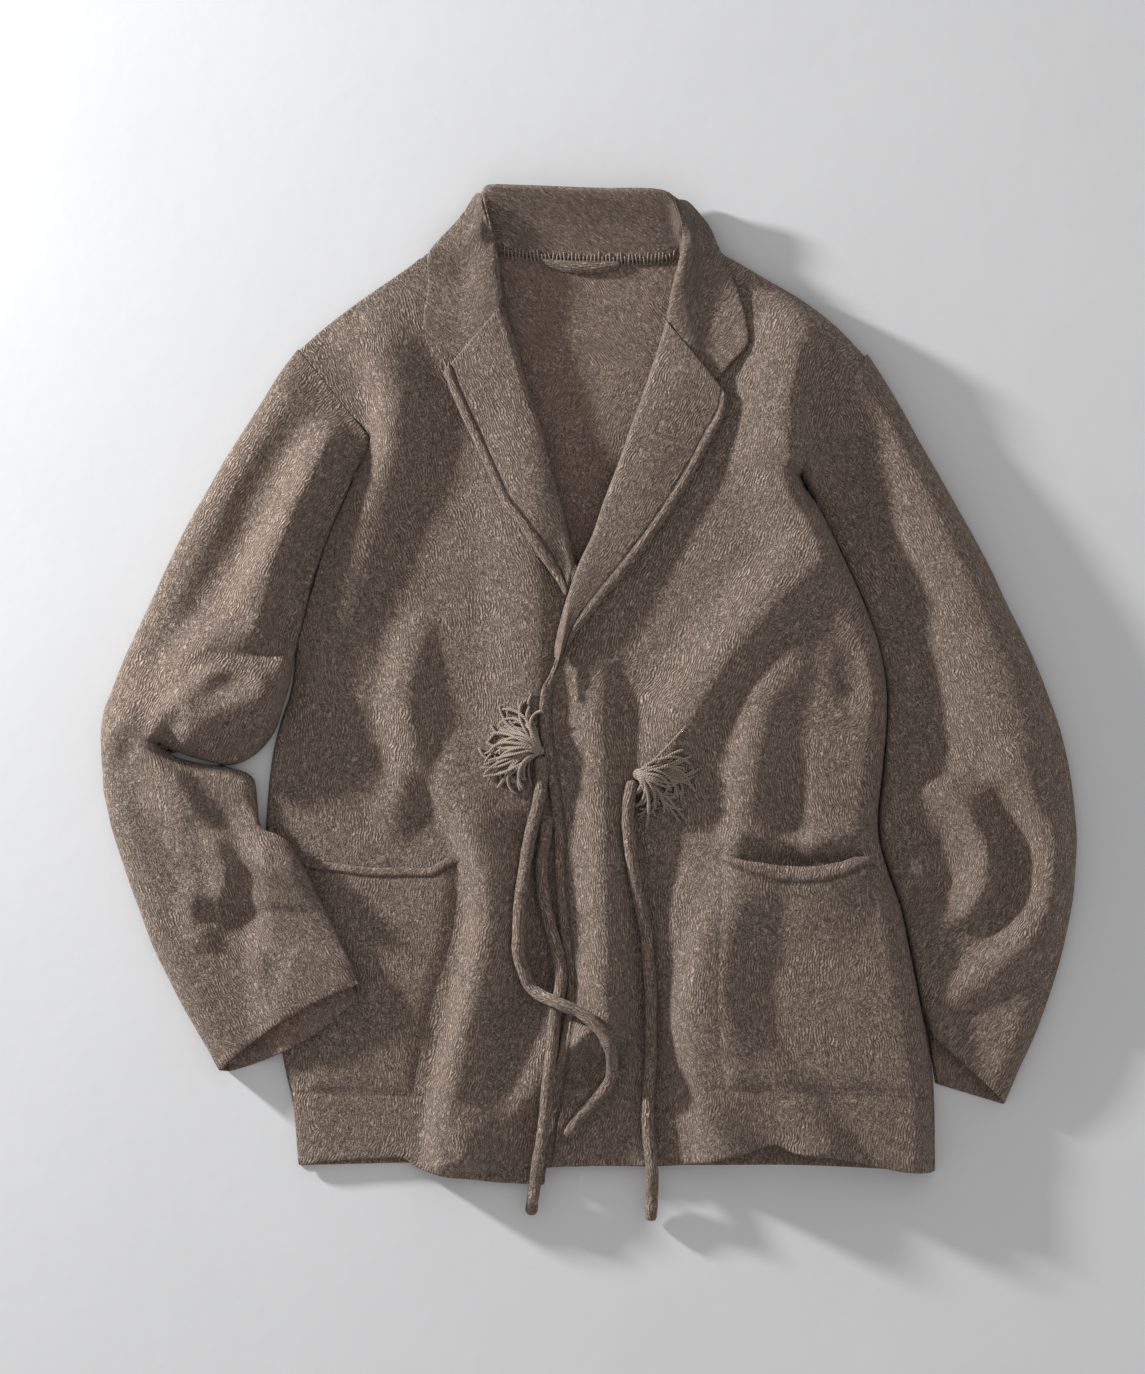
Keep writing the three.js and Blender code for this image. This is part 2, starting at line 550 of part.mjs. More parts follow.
// Sleeves: flat tubes, open at the armhole and the cuff. Each row: outer x, y, inner x, y.
const rightRings = [
  [-228.5, 259, -174, 190.5],
  [-241, 242.5, -180, 177],
  [-255, 220, -187, 157.5],
  [-270, 196.5, -195.5, 135.5],
  [-284, 174.5, -204.5, 114],
  [-298, 150, -213, 89],
  [-311, 128, -219.5, 65.5],
  [-325.5, 99, -226, 38],
  [-341, 65.5, -230, 18.5],
  [-352, 42, -233, 0],
  [-360.5, 24, -238, -16.5],
  [-366.5, 9.5, -245.5, -38],
  [-372, -4.5, -259.5, -54.5],
  [-375, -12.5, -277, -60],
  [-377.5, -18.5, -300.5, -57.5],
  [-379, -25, -319, -52.5],
  [-380.5, -36, -334.5, -47],
  [-380.5, -48.5, -322, -57.5],
  [-380, -59.5, -301, -64.5],
  [-379, -71, -277, -68.5],
  [-378.5, -82.5, -263, -78],
  [-376, -95, -258, -95],
  [-372, -112.5, -254.5, -111],
  [-365, -135, -235.5, -120],
  [-357, -158.5, -223, -139],
  [-348.5, -181.5, -212, -160.5],
  [-340, -204.5, -201, -182.5],
  [-328.5, -228, -190.5, -204.5],
  [-314.5, -255, -183.5, -217.5],
];
const rightCuff = [-288, -300, -179, -232];
const rightCuffUnder = [-285, -302, -177, -239];
const leftRings = [
  [218.5, 255, 166.5, 162],
  [231, 235.5, 171, 151.5],
  [245, 212, 180, 135.5],
  [258, 188, 188, 119.5],
  [272, 164, 197.5, 101.5],
  [287, 137.5, 206, 83.5],
  [301, 112.5, 214.5, 65.5],
  [314.5, 86.5, 221.5, 44.5],
  [326, 61.5, 228, 22.5],
  [337.5, 39, 232.5, 3],
  [348.5, 15, 234.5, -15.5],
  [358, -9.5, 234, -34.5],
  [366, -32, 232.5, -53],
  [372, -55.5, 231, -73.5],
  [376, -77, 228.5, -93],
  [378.5, -98.5, 227.5, -111],
  [380, -121.5, 228.5, -126.5],
  [379, -143.5, 234.5, -143.5],
  [377.5, -164.5, 240, -159],
  [373, -189.5, 246.5, -178],
  [366, -219, 252, -199.5],
  [356.5, -249, 256.5, -221.5],
  [346.5, -275.5, 260.5, -242],
  [337.5, -295, 264, -257.5],
];
const leftCuff = [324, -324, 266, -271];
const leftCuffUnder = [325, -327, 269, -310];
const rightOuterLine = [...rightShoulder].reverse().concat(rightRings.slice(1).map(([x, y]) => [x, y]),
  [rightCuff.slice(0, 2)]);
const leftOuterRows = leftRings.slice(1).map(([x, y]) => [x, y]);
const leftOuterLine = leftShoulder.concat(leftOuterRows, [leftCuff.slice(0, 2)]);
const rightInnerLine = rightRings.map(([, , x, y]) => [x, y]).concat([rightCuff.slice(2)]);
const leftInnerLine = leftRings.map(([, , x, y]) => [x, y]).concat([leftCuff.slice(2)]);

function sleeveHeight(x, y, left) {
  const armhole = nearest(left ? leftArmhole : rightArmhole, x, y).away;
  const joined = 1 - smooth(armhole / 38);
  const folds = foldsAt(left ? leftSleeveFolds : rightSleeveFolds, x, y);
  const bulk = left ? 14 + 7 * smooth((nearest(leftSide, x, y).away - 20) / 60) : 17;
  const own = Math.max(8.5, bulk + folds);
  return own + (bodyHeight(x, y) - own) * joined;
}

// The lower right sleeve lies over the side of the body and its pocket.
function sleeveFloor(x, y, left) {
  if (left) {
    return 0;
  }
  const side = nearest(rightSide, x, y);
  const inside = side.side > 0 ? side.away : -side.away;
  return 15 * smooth((inside + 27) / 31) * smooth((-88 - y) / 18);
}

function sleeve(rings, cuff, under, left) {
  const outerLine = left ? leftOuterLine : rightOuterLine;
  const innerLine = left ? leftInnerLine : rightInnerLine;
  const topShares = [0, 0.015, 0.05, 0.11, 0.2, 0.31, 0.43, 0.55, 0.67, 0.78, 0.87, 0.94, 0.98, 1];
  const baseShares = [0.975, 0.9, 0.76, 0.42, 0.1, 0.03];
  const tops = [...rings, cuff];
  const bases = tops.map((row, i) => {
    const weight = Math.max(0, 1 - (tops.length - 1 - i) / 2.5);
    const shift = under.map((v, k) => v - cuff[k]);
    return row.map((v, k) => v + shift[k] * weight);
  });
  const outer = tops.map((row, r) => {
    const last = r === tops.length - 1 ? 1 : 0;
    const span = Math.hypot(row[2] - row[0], row[3] - row[1]);
    const place = ([ax, ay, bx, by], t, bow) => {
      const b = bow * 4 * t * (1 - t);
      return [ax + (bx - ax) * t + (b * (ay - by)) / span, ay + (by - ay) * t + (b * (bx - ax)) / span];
    };
    const bowed = left ? 0 : 7 * last;
    const topPoints = topShares.map((t) => {
      const [x, y] = place(row, t, bowed);
      const low = sleeveFloor(x, y, left);
      const away = Math.min(nearest(outerLine, x, y).away, 400);
      const toInner = nearest(innerLine, x, y).away;
      const edge = rounding(away, Math.min(20, span * 0.3)) * rounding(toInner, Math.min(11, span * 0.2));
      const full = low + Math.max(8.5, sleeveHeight(x, y, left) - low * 0.35);
      return new THREE.Vector3(x, y, low + edgeHeight + (full - low - edgeHeight) * edge);
    });
    const basePoints = baseShares.map((t) => {
      const [x, y] = place(bases[r], t, left ? 0 : -10 * last);
      const low = sleeveFloor(x, y, left);
      return new THREE.Vector3(x, y, low + (t > 0.95 || t < 0.05 ? 0.5 : 0));
    });
    return [...topPoints, ...basePoints];
  });
  return sheetFrom(outer, sleeveWall, true, left ? 1 : -1);
}
addPiece('right_sleeve', sleeve(rightRings, rightCuff, rightCuffUnder, false));
addPiece('left_sleeve', sleeve(leftRings, leftCuff, leftCuffUnder, true));

// Patch pockets: the front's own points moved out, cut to the pocket's outline; the mouth gapes a little.
function pocket(grid, side, outline, mouth, gape, reach) {
  const normals = gridNormals(grid, false);
  const xs = outline.map(([x]) => x);
  const ys = outline.map(([, y]) => y);
  const near = (p, away) => p.x > Math.min(...xs) - away && p.x < Math.max(...xs) + away
    && p.y > Math.min(...ys) - away && p.y < Math.max(...ys) + away;
  const rows = grid.map((row, r) => (row.some((p) => near(p, 2)) ? r : -1)).filter((r) => r >= 0);
  const cols = grid[0].map((_, c) => (grid.some((row) => near(row[c], 2)) ? c : -1)).filter((c) => c >= 0);
  const r0 = Math.max(0, rows[0] - 1);
  const r1 = Math.min(grid.length - 1, rows.at(-1) + 1);
  const c0 = Math.max(0, cols[0] - 1);
  const c1 = Math.min(grid[0].length - 1, cols.at(-1) + 1);
  const [from, to] = [mouth[0], mouth.at(-1)];
  const at = (extra) => grid.slice(r0, r1 + 1).map((row, r) => row.slice(c0, c1 + 1).map((p, c) => {
    const found = nearest(mouth, p.x, p.y);
    const u = Math.min(1, Math.max(0, (p.x - from[0]) / (to[0] - from[0])));
    const open = gape * Math.sin(Math.PI * u) ** 0.8 * (1 - smooth(found.away / reach));
    return p.clone().addScaledVector(normals[r0 + r][c0 + c], side * (sewnGap + open + extra));
  }));
  const shell = wallBetween(at(trimWall), at(0));
  const flat = new THREE.Shape(outline.map(([x, y]) => new THREE.Vector2(x, y)));
  const cutter = new THREE.ExtrudeGeometry(flat, { depth: 90, bevelEnabled: false });
  cutter.translate(0, 0, -10);
  return fromManifold(toManifold(shell).intersect(toManifold(cutter)));
}
const rightMouth = [[-217, -138], [-194, -141], [-171, -144], [-147, -144], [-124, -144], [-112, -137],
  [-101, -133]];
const leftMouth = [[103, -130], [114, -136], [126, -140], [145, -144], [165, -144], [182, -144],
  [197, -140],
  [211, -136], [221, -134]];
const rightPocketSides = [[-101, -161], [-105, -192], [-112, -219], [-120, -246], [-128, -274],
  [-133, -301], [-136, -321], [-179, -320], [-222, -319], [-224, -293], [-226, -254], [-226, -207],
  [-225, -168]];
const leftPocketSides = [[229, -153], [236, -178], [243, -207], [248, -239], [252, -270], [255, -297],
  [256, -321], [211, -318], [165, -316], [104, -317], [100, -278], [98, -246], [99, -207], [101, -168]];
addPiece('right_pocket', pocket(rightGrid, -1, [...rightMouth, ...rightPocketSides], rightMouth, 0.5, 60));
addPiece('left_pocket', pocket(leftGrid, 1, [...leftMouth, ...leftPocketSides], leftMouth, 9, 75));

// Hanger loop over the neck seam.
const loopPlan = planGrid({
  top: [[-34, 332], [-15, 329], [5, 328], [21, 330]],
  bottom: [[-33, 326], [-15, 323], [5, 323], [20, 324]],
  left: [[-34, 332], [-33, 326]],
  right: [[21, 330], [20, 324]],
}, steps(8), steps(2));
const loopHeight = (p) => 4.6 + 1.6 * Math.sin(Math.PI * p.u);
const loopTop = (p) => new THREE.Vector3(p.x, p.y, loopHeight(p) + 1.4 * Math.sin(Math.PI * p.v));
const loopBelow = (p) => new THREE.Vector3(p.x, p.y, loopHeight(p) - 1.4);
addPiece('hanger_loop', wallBetween(
  loopPlan.map((row) => row.map(loopTop)),
  loopPlan.map((row) => row.map(loopBelow)),
));

// Ties: round knitted cords. Each route row: x, y, height of the middle over the cloth below.
const rightTieRoute = [[-38, -57, 0.5], [-37, -75, 0.5], [-39, -90, 0.5], [-44, -110, 0],
  [-48, -129, 0], [-51, -149, 0], [-54, -172, 0], [-55, -192, 0], [-55, -209, 0], [-51, -223, 0],
  [-46, -235, 2], [-37, -242, 6], [-27, -246, 11], [-18, -250, 8], [-8, -254, 3], [2, -261, 0],
  [10, -270, 0], [16, -282, 0], [18, -295, 0], [16, -309, 0], [9, -319, 0], [-1, -330, 0],
  [-10, -340, 0.5], [-17, -351, 0.5]];
const underTieRoute = [[-33, -108, 0], [-34, -119, 0], [-36, -131, 0], [-37, -147, 0.5],
  [-35, -167, 0.5], [-31, -186, 0.5], [-26, -203, 0], [-23, -217, 0], [-22, -231, 0], [-24, -246, 0],
  [-27, -262, 0], [-29, -285, 0], [-32, -309, 0], [-34, -332, 0], [-37, -356, 1.5], [-40, -373, 2.5],
  [-42, -388, 2], [-44, -401, 5], [-45, -411, 1]];
const leftTieRoute = [[34, -76, 0], [31, -90, 0], [30, -108, 0], [32, -129, 0], [36, -153, 0],
  [40, -172, 0], [44, -192, 0], [46, -215, 0], [48, -239, 0], [48, -266, 0], [48, -293, 0],
  [46, -323, 0], [46, -348, 0], [48, -370, 1], [49, -381, 2], [49, -396, 6], [48, -417, 1]];

function clothBelow(x, y) {
  const top = Math.max(onlyRight(x, y), onlyLeft(x, y));
  return top === -Infinity ? 0 : top;
}

// Lowest middle of a cord at a place where it clears the cloth all round by the gap.
function clearOf(x, y, radius) {
  let middle = -Infinity;
  for (const share of [0, 0.5, 0.85, 1.2]) {
    for (let k = 0; k < 8; k += 1) {
      const angle = (k * Math.PI) / 4;
      const below = clothBelow(x + radius * share * Math.cos(angle), y + radius * share * Math.sin(angle));
      middle = Math.max(middle, below + radius * Math.sqrt(Math.max(0.04, 1 - share * share)));
    }
  }
  return middle + 0.8;
}

function ringShape(radius, sides) {
  const corners = Array.from({ length: sides }, (_, k) => {
    const turn = (2 * Math.PI * k) / sides;
    return new THREE.Vector2(radius * Math.cos(turn), radius * Math.sin(turn));
  });
  return new THREE.Shape(corners);
}

function tie(route) {
  const flat = route.map(([x, y]) => new THREE.Vector3(x, y, 0));
  const plan = new THREE.CatmullRomCurve3(flat, false, 'centripetal');
  const last = route.length - 1;
  const points = route.map(([x, y, above], i) => {
    const rests = [-0.5, -0.25, 0, 0.25, 0.5].map((d) => {
      const p = plan.getPoint(Math.min(1, Math.max(0, (i + d) / last)));
      return clearOf(p.x, p.y, tieDiameter / 2);
    });
    return new THREE.Vector3(x, y, Math.max(tieDiameter / 2 + 1, ...rests) + above);
  });
  const curve = new THREE.CatmullRomCurve3(points, false, 'centripetal');
  const shape = ringShape(tieDiameter / 2, tieSides);
  return new THREE.ExtrudeGeometry(shape, { steps: 21, bevelEnabled: false, extrudePath: curve });
}
addPiece('tie_right', tie(rightTieRoute));
addPiece('tie_right_under', tie(underTieRoute));
addPiece('tie_left', tie(leftTieRoute));

// Tassels: strands of yarn that fan out from a small head at the top of each tie.
function strand(root, towards, length, bend, sag, floorAt) {
  const points = [0, 0.3, 0.62, 1].map((t) => {
    const x = root.x + Math.cos(towards + bend * t) * length * t;
    const y = root.y + Math.sin(towards + bend * t) * length * t;
    const z = root.z + sag * t;
    return new THREE.Vector3(x, y, Math.max(z, floorAt(x, y) + 1.9 + 0.4 * t));
  });
  const curve = new THREE.CatmullRomCurve3(points, false, 'centripetal');
  const shape = ringShape((yarn / 2) * 1.25, 3);
  return new THREE.ExtrudeGeometry(shape, { steps: 3, bevelEnabled: false, extrudePath: curve });
}

function tassel(x, y, heading, spread, count) {
  const ground = clothBelow(x, y);
  const head = new THREE.SphereGeometry(5.2, 8, 6).toNonIndexed();
  head.translate(x, y, ground + 6.2);
  let body = toManifold(head);
  for (let i = 0; i < count; i += 1) {
    const layer = i % 4;
    const t = (i + 0.5) / count;
    const wobble = Math.sin(i * 12.9) * 0.11;
    const angle = heading + spread * (t - 0.5) + wobble;
    const rootHeight = ground + 3.4 + 1.9 * layer;
    const root = new THREE.Vector3(x + 2.6 * Math.cos(angle), y + 2.6 * Math.sin(angle), rootHeight);
    const long = 30 + 13 * Math.abs(Math.sin(i * 5.3)) + 5 * Math.cos(angle - heading);
    const one = strand(root, angle, long, Math.sin(i * 7.7) * 0.35, layer * 0.4 - 1, clothBelow);
    body = body.add(toManifold(one));
  }
  return fromManifold(body);
}
addPiece('tassel_right', tassel(-41, -51, -2.95, 1.9, 26));
addPiece('tassel_left', tassel(41, -69, -0.45, 2.3, 26));

const low = new THREE.Box3();
for (const mesh of group.children) {
  mesh.geometry.computeBoundingBox();
  if (!mesh.name.startsWith('tie') && !mesh.name.startsWith('tassel')) {
    low.union(mesh.geometry.boundingBox);
  }
}
const centreX = (low.min.x + low.max.x) / 2;
const centreY = (low.min.y + low.max.y) / 2;
for (const mesh of group.children) {
  mesh.geometry.translate(-centreX, -centreY, -low.min.z);
}

export default group;
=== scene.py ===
import math
import bpy
import numpy as np
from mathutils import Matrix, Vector
from mathutils.bvhtree import BVHTree


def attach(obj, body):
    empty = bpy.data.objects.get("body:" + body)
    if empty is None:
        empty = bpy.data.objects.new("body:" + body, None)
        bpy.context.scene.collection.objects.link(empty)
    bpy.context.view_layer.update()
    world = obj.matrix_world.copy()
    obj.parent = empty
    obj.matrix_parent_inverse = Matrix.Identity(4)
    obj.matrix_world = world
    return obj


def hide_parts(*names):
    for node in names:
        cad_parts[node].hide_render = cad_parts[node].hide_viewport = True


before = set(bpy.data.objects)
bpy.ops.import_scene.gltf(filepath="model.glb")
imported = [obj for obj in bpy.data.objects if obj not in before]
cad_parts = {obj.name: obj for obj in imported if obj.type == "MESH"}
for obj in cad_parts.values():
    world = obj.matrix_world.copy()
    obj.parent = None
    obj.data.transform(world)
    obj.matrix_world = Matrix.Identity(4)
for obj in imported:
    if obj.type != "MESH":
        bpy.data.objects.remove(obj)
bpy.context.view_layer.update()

for name in ("Cube", "Light", "Camera"):  # what an empty Blender file starts with
    if name in bpy.data.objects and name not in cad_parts:
        bpy.data.objects.remove(bpy.data.objects[name])

# Camera first: it looks straight down and frames the jacket as in the photo.
view = {"middle": (-0.0127, -0.0021), "height": 5.0, "tall": 1.072, "sensor": 24}
camera = bpy.data.cameras.new("camera")
cameraObject = bpy.data.objects.new("camera", camera)
bpy.context.collection.objects.link(cameraObject)
cameraObject.location = (*view["middle"], view["height"])
camera.sensor_fit = "VERTICAL"
camera.sensor_height = view["sensor"]
camera.lens = view["sensor"] * view["height"] / view["tall"]
bpy.context.scene.camera = cameraObject

# One low soft light from the upper left, and a dim room.
studio = {"away": 2.3, "low": 13.5, "from": (-0.893, 0.45), "watts": 93, "across": 0.2, "room": 0.53}
lamp = bpy.data.lights.new("window", "AREA")
lamp.shape = "DISK"
lamp.size = studio["across"]
lamp.energy = studio["watts"]
lampObject = bpy.data.objects.new("window", lamp)
bpy.context.collection.objects.link(lampObject)
flat = studio["away"] * math.cos(math.radians(studio["low"]))
lampObject.location = (
    studio["from"][0] * flat,
    studio["from"][1] * flat,
    studio["away"] * math.sin(math.radians(studio["low"])),
)
lampObject.rotation_euler = (-lampObject.location).to_track_quat("-Z", "Y").to_euler()
room = bpy.data.worlds.new("room")
bpy.context.scene.world = room
room.use_nodes = True
room.node_tree.nodes["Background"].inputs["Color"].default_value = (1, 0.985, 0.975, 1)
room.node_tree.nodes["Background"].inputs["Strength"].default_value = studio["room"]
bpy.context.scene.view_settings.view_transform = "Standard"
print("stage: camera and light set")


def colour(code):  # sRGB hex to linear
    parts = [int(code[i:i + 2], 16) / 255 for i in (1, 3, 5)]
    return tuple(v / 12.92 if v <= 0.04045 else ((v + 0.055) / 1.055) ** 2.4 for v in parts) + (1,)


def addNode(tree, kind, settings=None, inputs=None):
    new = tree.nodes.new(kind)
    for key, value in (settings or {}).items():
        setattr(new, key, value)
    for key, value in (inputs or {}).items():
        if isinstance(value, bpy.types.Node):
            value = value.outputs[0]
        if isinstance(value, bpy.types.NodeSocket):
            tree.links.new(value, new.inputs[key])
        else:
            new.inputs[key].default_value = value
    return new


def newLook(name):
    look = bpy.data.materials.new(name)
    look.use_nodes = True
    return look, look.node_tree, look.node_tree.nodes["Principled BSDF"]


# Brushed melange jersey: matte and soft. Fine wales show in worn places, elsewhere a curly fuzz of
# short ridges half hides them, with paler and darker hairs. Sizes in mm, on the piece's own knit map.
def knitLook(name, shades, wale=2.2, stitches=1.0, fuzz=1.0, drawnOut=0.32, depth=1.0):
    look, tree, shader = newLook(name)
    knit = addNode(tree, "ShaderNodeUVMap", {"uv_map": "knit"})
    inMm = addNode(tree, "ShaderNodeMapping", {}, {"Vector": knit, "Scale": (1000, 1000, 1000)})
    place = addNode(tree, "ShaderNodeTexCoord").outputs["Object"]
    placeMm = addNode(tree, "ShaderNodeMapping", {}, {"Vector": place, "Scale": (1000, 1000, 1000)})
    wander = addNode(tree, "ShaderNodeTexNoise", {},
                     {"Vector": placeMm, "Scale": 0.09, "Detail": 2.0}).outputs["Color"]
    pulled = addNode(tree, "ShaderNodeVectorMath", {"operation": "SCALE"}, {0: wander, "Scale": 8.0})
    warped = addNode(tree, "ShaderNodeVectorMath", {"operation": "ADD"}, {0: inMm, 1: pulled})
    # wales: soft bands along the piece, 2.2 mm apart, broken up along their length
    wales = addNode(tree, "ShaderNodeTexWave", {"bands_direction": "X"},
                    {"Vector": warped, "Scale": 0.314 / wale, "Distortion": 1.6, "Detail": 1.0,
                     "Detail Scale": 2.5})
    broken = addNode(tree, "ShaderNodeMapping", {}, {"Vector": warped, "Scale": (0.45, 0.2, 1)})
    breaks = addNode(tree, "ShaderNodeTexNoise", {}, {"Vector": broken, "Scale": 1.0, "Detail": 1.0})
    standing = addNode(tree, "ShaderNodeMapRange", {},
                       {"Value": breaks, "From Min": 0.36, "From Max": 0.6, "To Min": 0.15})
    stitch = addNode(tree, "ShaderNodeMath", {"operation": "MULTIPLY"},
                     {0: wales.outputs[1], 1: standing})
    # curls: ridges where a smooth noise crosses its middle, some 2 mm by 3, longer along the wales
    drawn = addNode(tree, "ShaderNodeMapping", {}, {"Vector": warped, "Scale": (0.5, drawnOut, 1)})
    curls = addNode(tree, "ShaderNodeTexNoise", {},
                    {"Vector": drawn, "Scale": 1.0, "Detail": 1.0, "Distortion": 1.2})
    offMiddle = addNode(tree, "ShaderNodeMath", {"operation": "SUBTRACT"}, {0: curls, 1: 0.5})
    distance = addNode(tree, "ShaderNodeMath", {"operation": "ABSOLUTE"}, {0: offMiddle})
    ridge = addNode(tree, "ShaderNodeMapRange", {},
                    {"Value": distance, "From Min": 0.0, "From Max": 0.14, "To Min": 1.0, "To Max": 0.0})
    hairs = addNode(tree, "ShaderNodeTexNoise", {}, {"Vector": warped, "Scale": 0.8, "Detail": 2.0})
    patches = addNode(tree, "ShaderNodeTexNoise", {}, {"Vector": placeMm, "Scale": 0.03, "Detail": 2.0})
    worn = addNode(tree, "ShaderNodeMapRange", {},
                   {"Value": patches, "From Min": 0.4, "From Max": 0.6, "To Min": 0.15, "To Max": 0.85})
    combed = addNode(tree, "ShaderNodeMath", {"operation": "MULTIPLY"}, {0: worn, 1: stitches})
    furred = addNode(tree, "ShaderNodeMath", {"operation": "SUBTRACT"}, {0: 0.95 * fuzz, 1: worn})
    loops = addNode(tree, "ShaderNodeMath", {"operation": "MULTIPLY"}, {0: stitch, 1: combed})
    curled = addNode(tree, "ShaderNodeMath", {"operation": "MULTIPLY"}, {0: ridge, 1: furred})
    body = addNode(tree, "ShaderNodeMath", {"operation": "ADD"}, {0: loops, 1: curled})
    pile = addNode(tree, "ShaderNodeMath", {"operation": "MULTIPLY_ADD"}, {0: hairs, 1: 0.5, 2: body})
    # sewn lines: marks hold the signed distance to them, mm
    lines = []
    for mark in ("seam", "edging"):
        away = addNode(tree, "ShaderNodeAttribute", {"attribute_name": mark}).outputs["Fac"]
        squared = addNode(tree, "ShaderNodeMath", {"operation": "MULTIPLY"}, {0: away, 1: away})
        falling = addNode(tree, "ShaderNodeMath", {"operation": "MULTIPLY"}, {0: squared, 1: -0.55})
        lines.append(addNode(tree, "ShaderNodeMath", {"operation": "EXPONENT"}, {0: falling}))
    sewn = addNode(tree, "ShaderNodeMath", {"operation": "MULTIPLY_ADD"},
                   {0: lines[0], 1: 0.45, 2: lines[1]})
    grooved = addNode(tree, "ShaderNodeMath", {"operation": "MULTIPLY_ADD"}, {0: sewn, 1: -2.4, 2: pile})
    # whipped edge: ticks across a hem or cuff
    border = addNode(tree, "ShaderNodeAttribute", {"attribute_name": "border"}).outputs["Fac"]
    close = addNode(tree, "ShaderNodeMapRange", {},
                    {"Value": border, "From Min": 2.0, "From Max": 6.0, "To Min": 0.9, "To Max": 0.0})
    ticks = addNode(tree, "ShaderNodeTexWave", {"bands_direction": "X"}, {"Vector": inMm, "Scale": 0.11})
    whipped = addNode(tree, "ShaderNodeMath", {"operation": "MULTIPLY"}, {0: ticks.outputs[1], 1: close})
    height = addNode(tree, "ShaderNodeMath", {"operation": "ADD"}, {0: grooved, 1: whipped})
    bump = addNode(tree, "ShaderNodeBump", {},
                   {"Height": height, "Strength": 1.0, "Distance": depth / 1000})
    tree.links.new(bump.outputs[0], shader.inputs["Normal"])
    # Colour follows the pile: painted shade darkens the knit's hollows, and the hairs' noise adds their own
    # random tone.
    hollowShadeAndTone = addNode(tree, "ShaderNodeMapRange", {}, {"Value": pile, "From Min": 0.2, "From Max": 1.1})
    ramp = addNode(tree, "ShaderNodeValToRGB", {}, {"Fac": hollowShadeAndTone})
    ramp.color_ramp.elements[0].color = colour(shades["deep"])
    ramp.color_ramp.elements[1].color = colour(shades["high"])
    ramp.color_ramp.elements.new(0.5).color = colour(shades["middle"])
    flecks = addNode(tree, "ShaderNodeMapping", {},
                     {"Vector": warped, "Scale": (0.8, 0.35, 1), "Location": (31, 17, 0)})
    pale = addNode(tree, "ShaderNodeTexNoise", {},
                   {"Vector": flecks, "Scale": 0.8, "Detail": 2.0, "Distortion": 1.2})
    paleShare = addNode(tree, "ShaderNodeMapRange", {},
                        {"Value": pale, "From Min": 0.57, "From Max": 0.72, "To Max": 0.6})
    dark = addNode(tree, "ShaderNodeTexNoise", {}, {"Vector": flecks, "Scale": 0.55, "Detail": 2.0})
    darkShare = addNode(tree, "ShaderNodeMapRange", {},
                        {"Value": dark, "From Min": 0.44, "From Max": 0.3, "To Max": 0.5})
    withPale = addNode(tree, "ShaderNodeMix", {"data_type": "RGBA"},
                       {0: paleShare, 6: ramp, 7: colour(shades["fleck"])})
    withDark = addNode(tree, "ShaderNodeMix", {"data_type": "RGBA"},
                       {0: darkShare, 6: withPale.outputs[2], 7: colour(shades["dark"])})
    seamShare = addNode(tree, "ShaderNodeMath", {"operation": "MULTIPLY", "use_clamp": True},
                        {0: sewn, 1: 0.5})
    final = addNode(tree, "ShaderNodeMix", {"data_type": "RGBA"},
                    {0: seamShare, 6: withDark.outputs[2], 7: colour(shades["dark"])})
    tree.links.new(final.outputs[2], shader.inputs["Base Color"])
    shader.inputs["Roughness"].default_value = 0.93
    shader.inputs["Specular IOR Level"].default_value = 0.2
    shader.inputs["Sheen Weight"].default_value = 0.2
    shader.inputs["Sheen Roughness"].default_value = 0.45
    shader.inputs["Sheen Tint"].default_value = colour("#d9cdc2")
    return look


woolShades = {"deep": "#4d4037", "middle": "#7b6b60", "high": "#a08f82",
              "fleck": "#c9b9ac", "dark": "#3f342c"}
reverseShades = {"deep": "#5b4b40", "middle": "#8a776b", "high": "#ad998b",
                 "fleck": "#ccbaad", "dark": "#4a3c33"}
wool = knitLook("brushed wool jersey", woolShades)
reverse = knitLook("wool jersey reverse", reverseShades, stitches=0.5, fuzz=1.05, drawnOut=0.42)
collarWool = knitLook("brushed wool jersey of the collar", woolShades,
                      stitches=0.6, fuzz=1.1, drawnOut=0.42)
cordWool = knitLook("knitted wool cord", woolShades, wale=2.4, stitches=1.1, fuzz=0.9)

# Plied yarn: fine slanting twist, a little paler where the light catches the hairs.
yarnLook, yarnTree, yarnShader = newLook("plied wool yarn")
yarnMap = addNode(yarnTree, "ShaderNodeUVMap", {"uv_map": "knit"})
yarnMm = addNode(yarnTree, "ShaderNodeMapping", {},
                 {"Vector": yarnMap, "Rotation": (0, 0, 0.65), "Scale": (1000, 1000, 1000)})
yarnTwist = addNode(yarnTree, "ShaderNodeTexWave", {"bands_direction": "Y"},
                    {"Vector": yarnMm, "Scale": 0.2, "Distortion": 1.2, "Detail": 1.0}).outputs[1]
yarnRamp = addNode(yarnTree, "ShaderNodeValToRGB", {}, {"Fac": yarnTwist})
yarnRamp.color_ramp.elements[0].color = colour("#64564b")
yarnRamp.color_ramp.elements[1].color = colour("#a59484")
yarnBump = addNode(yarnTree, "ShaderNodeBump", {},
                   {"Height": yarnTwist, "Strength": 0.8, "Distance": 0.0004})
yarnTree.links.new(yarnRamp.outputs[0], yarnShader.inputs["Base Color"])
yarnTree.links.new(yarnBump.outputs[0], yarnShader.inputs["Normal"])
yarnShader.inputs["Roughness"].default_value = 0.9
yarnShader.inputs["Sheen Weight"].default_value = 0.3

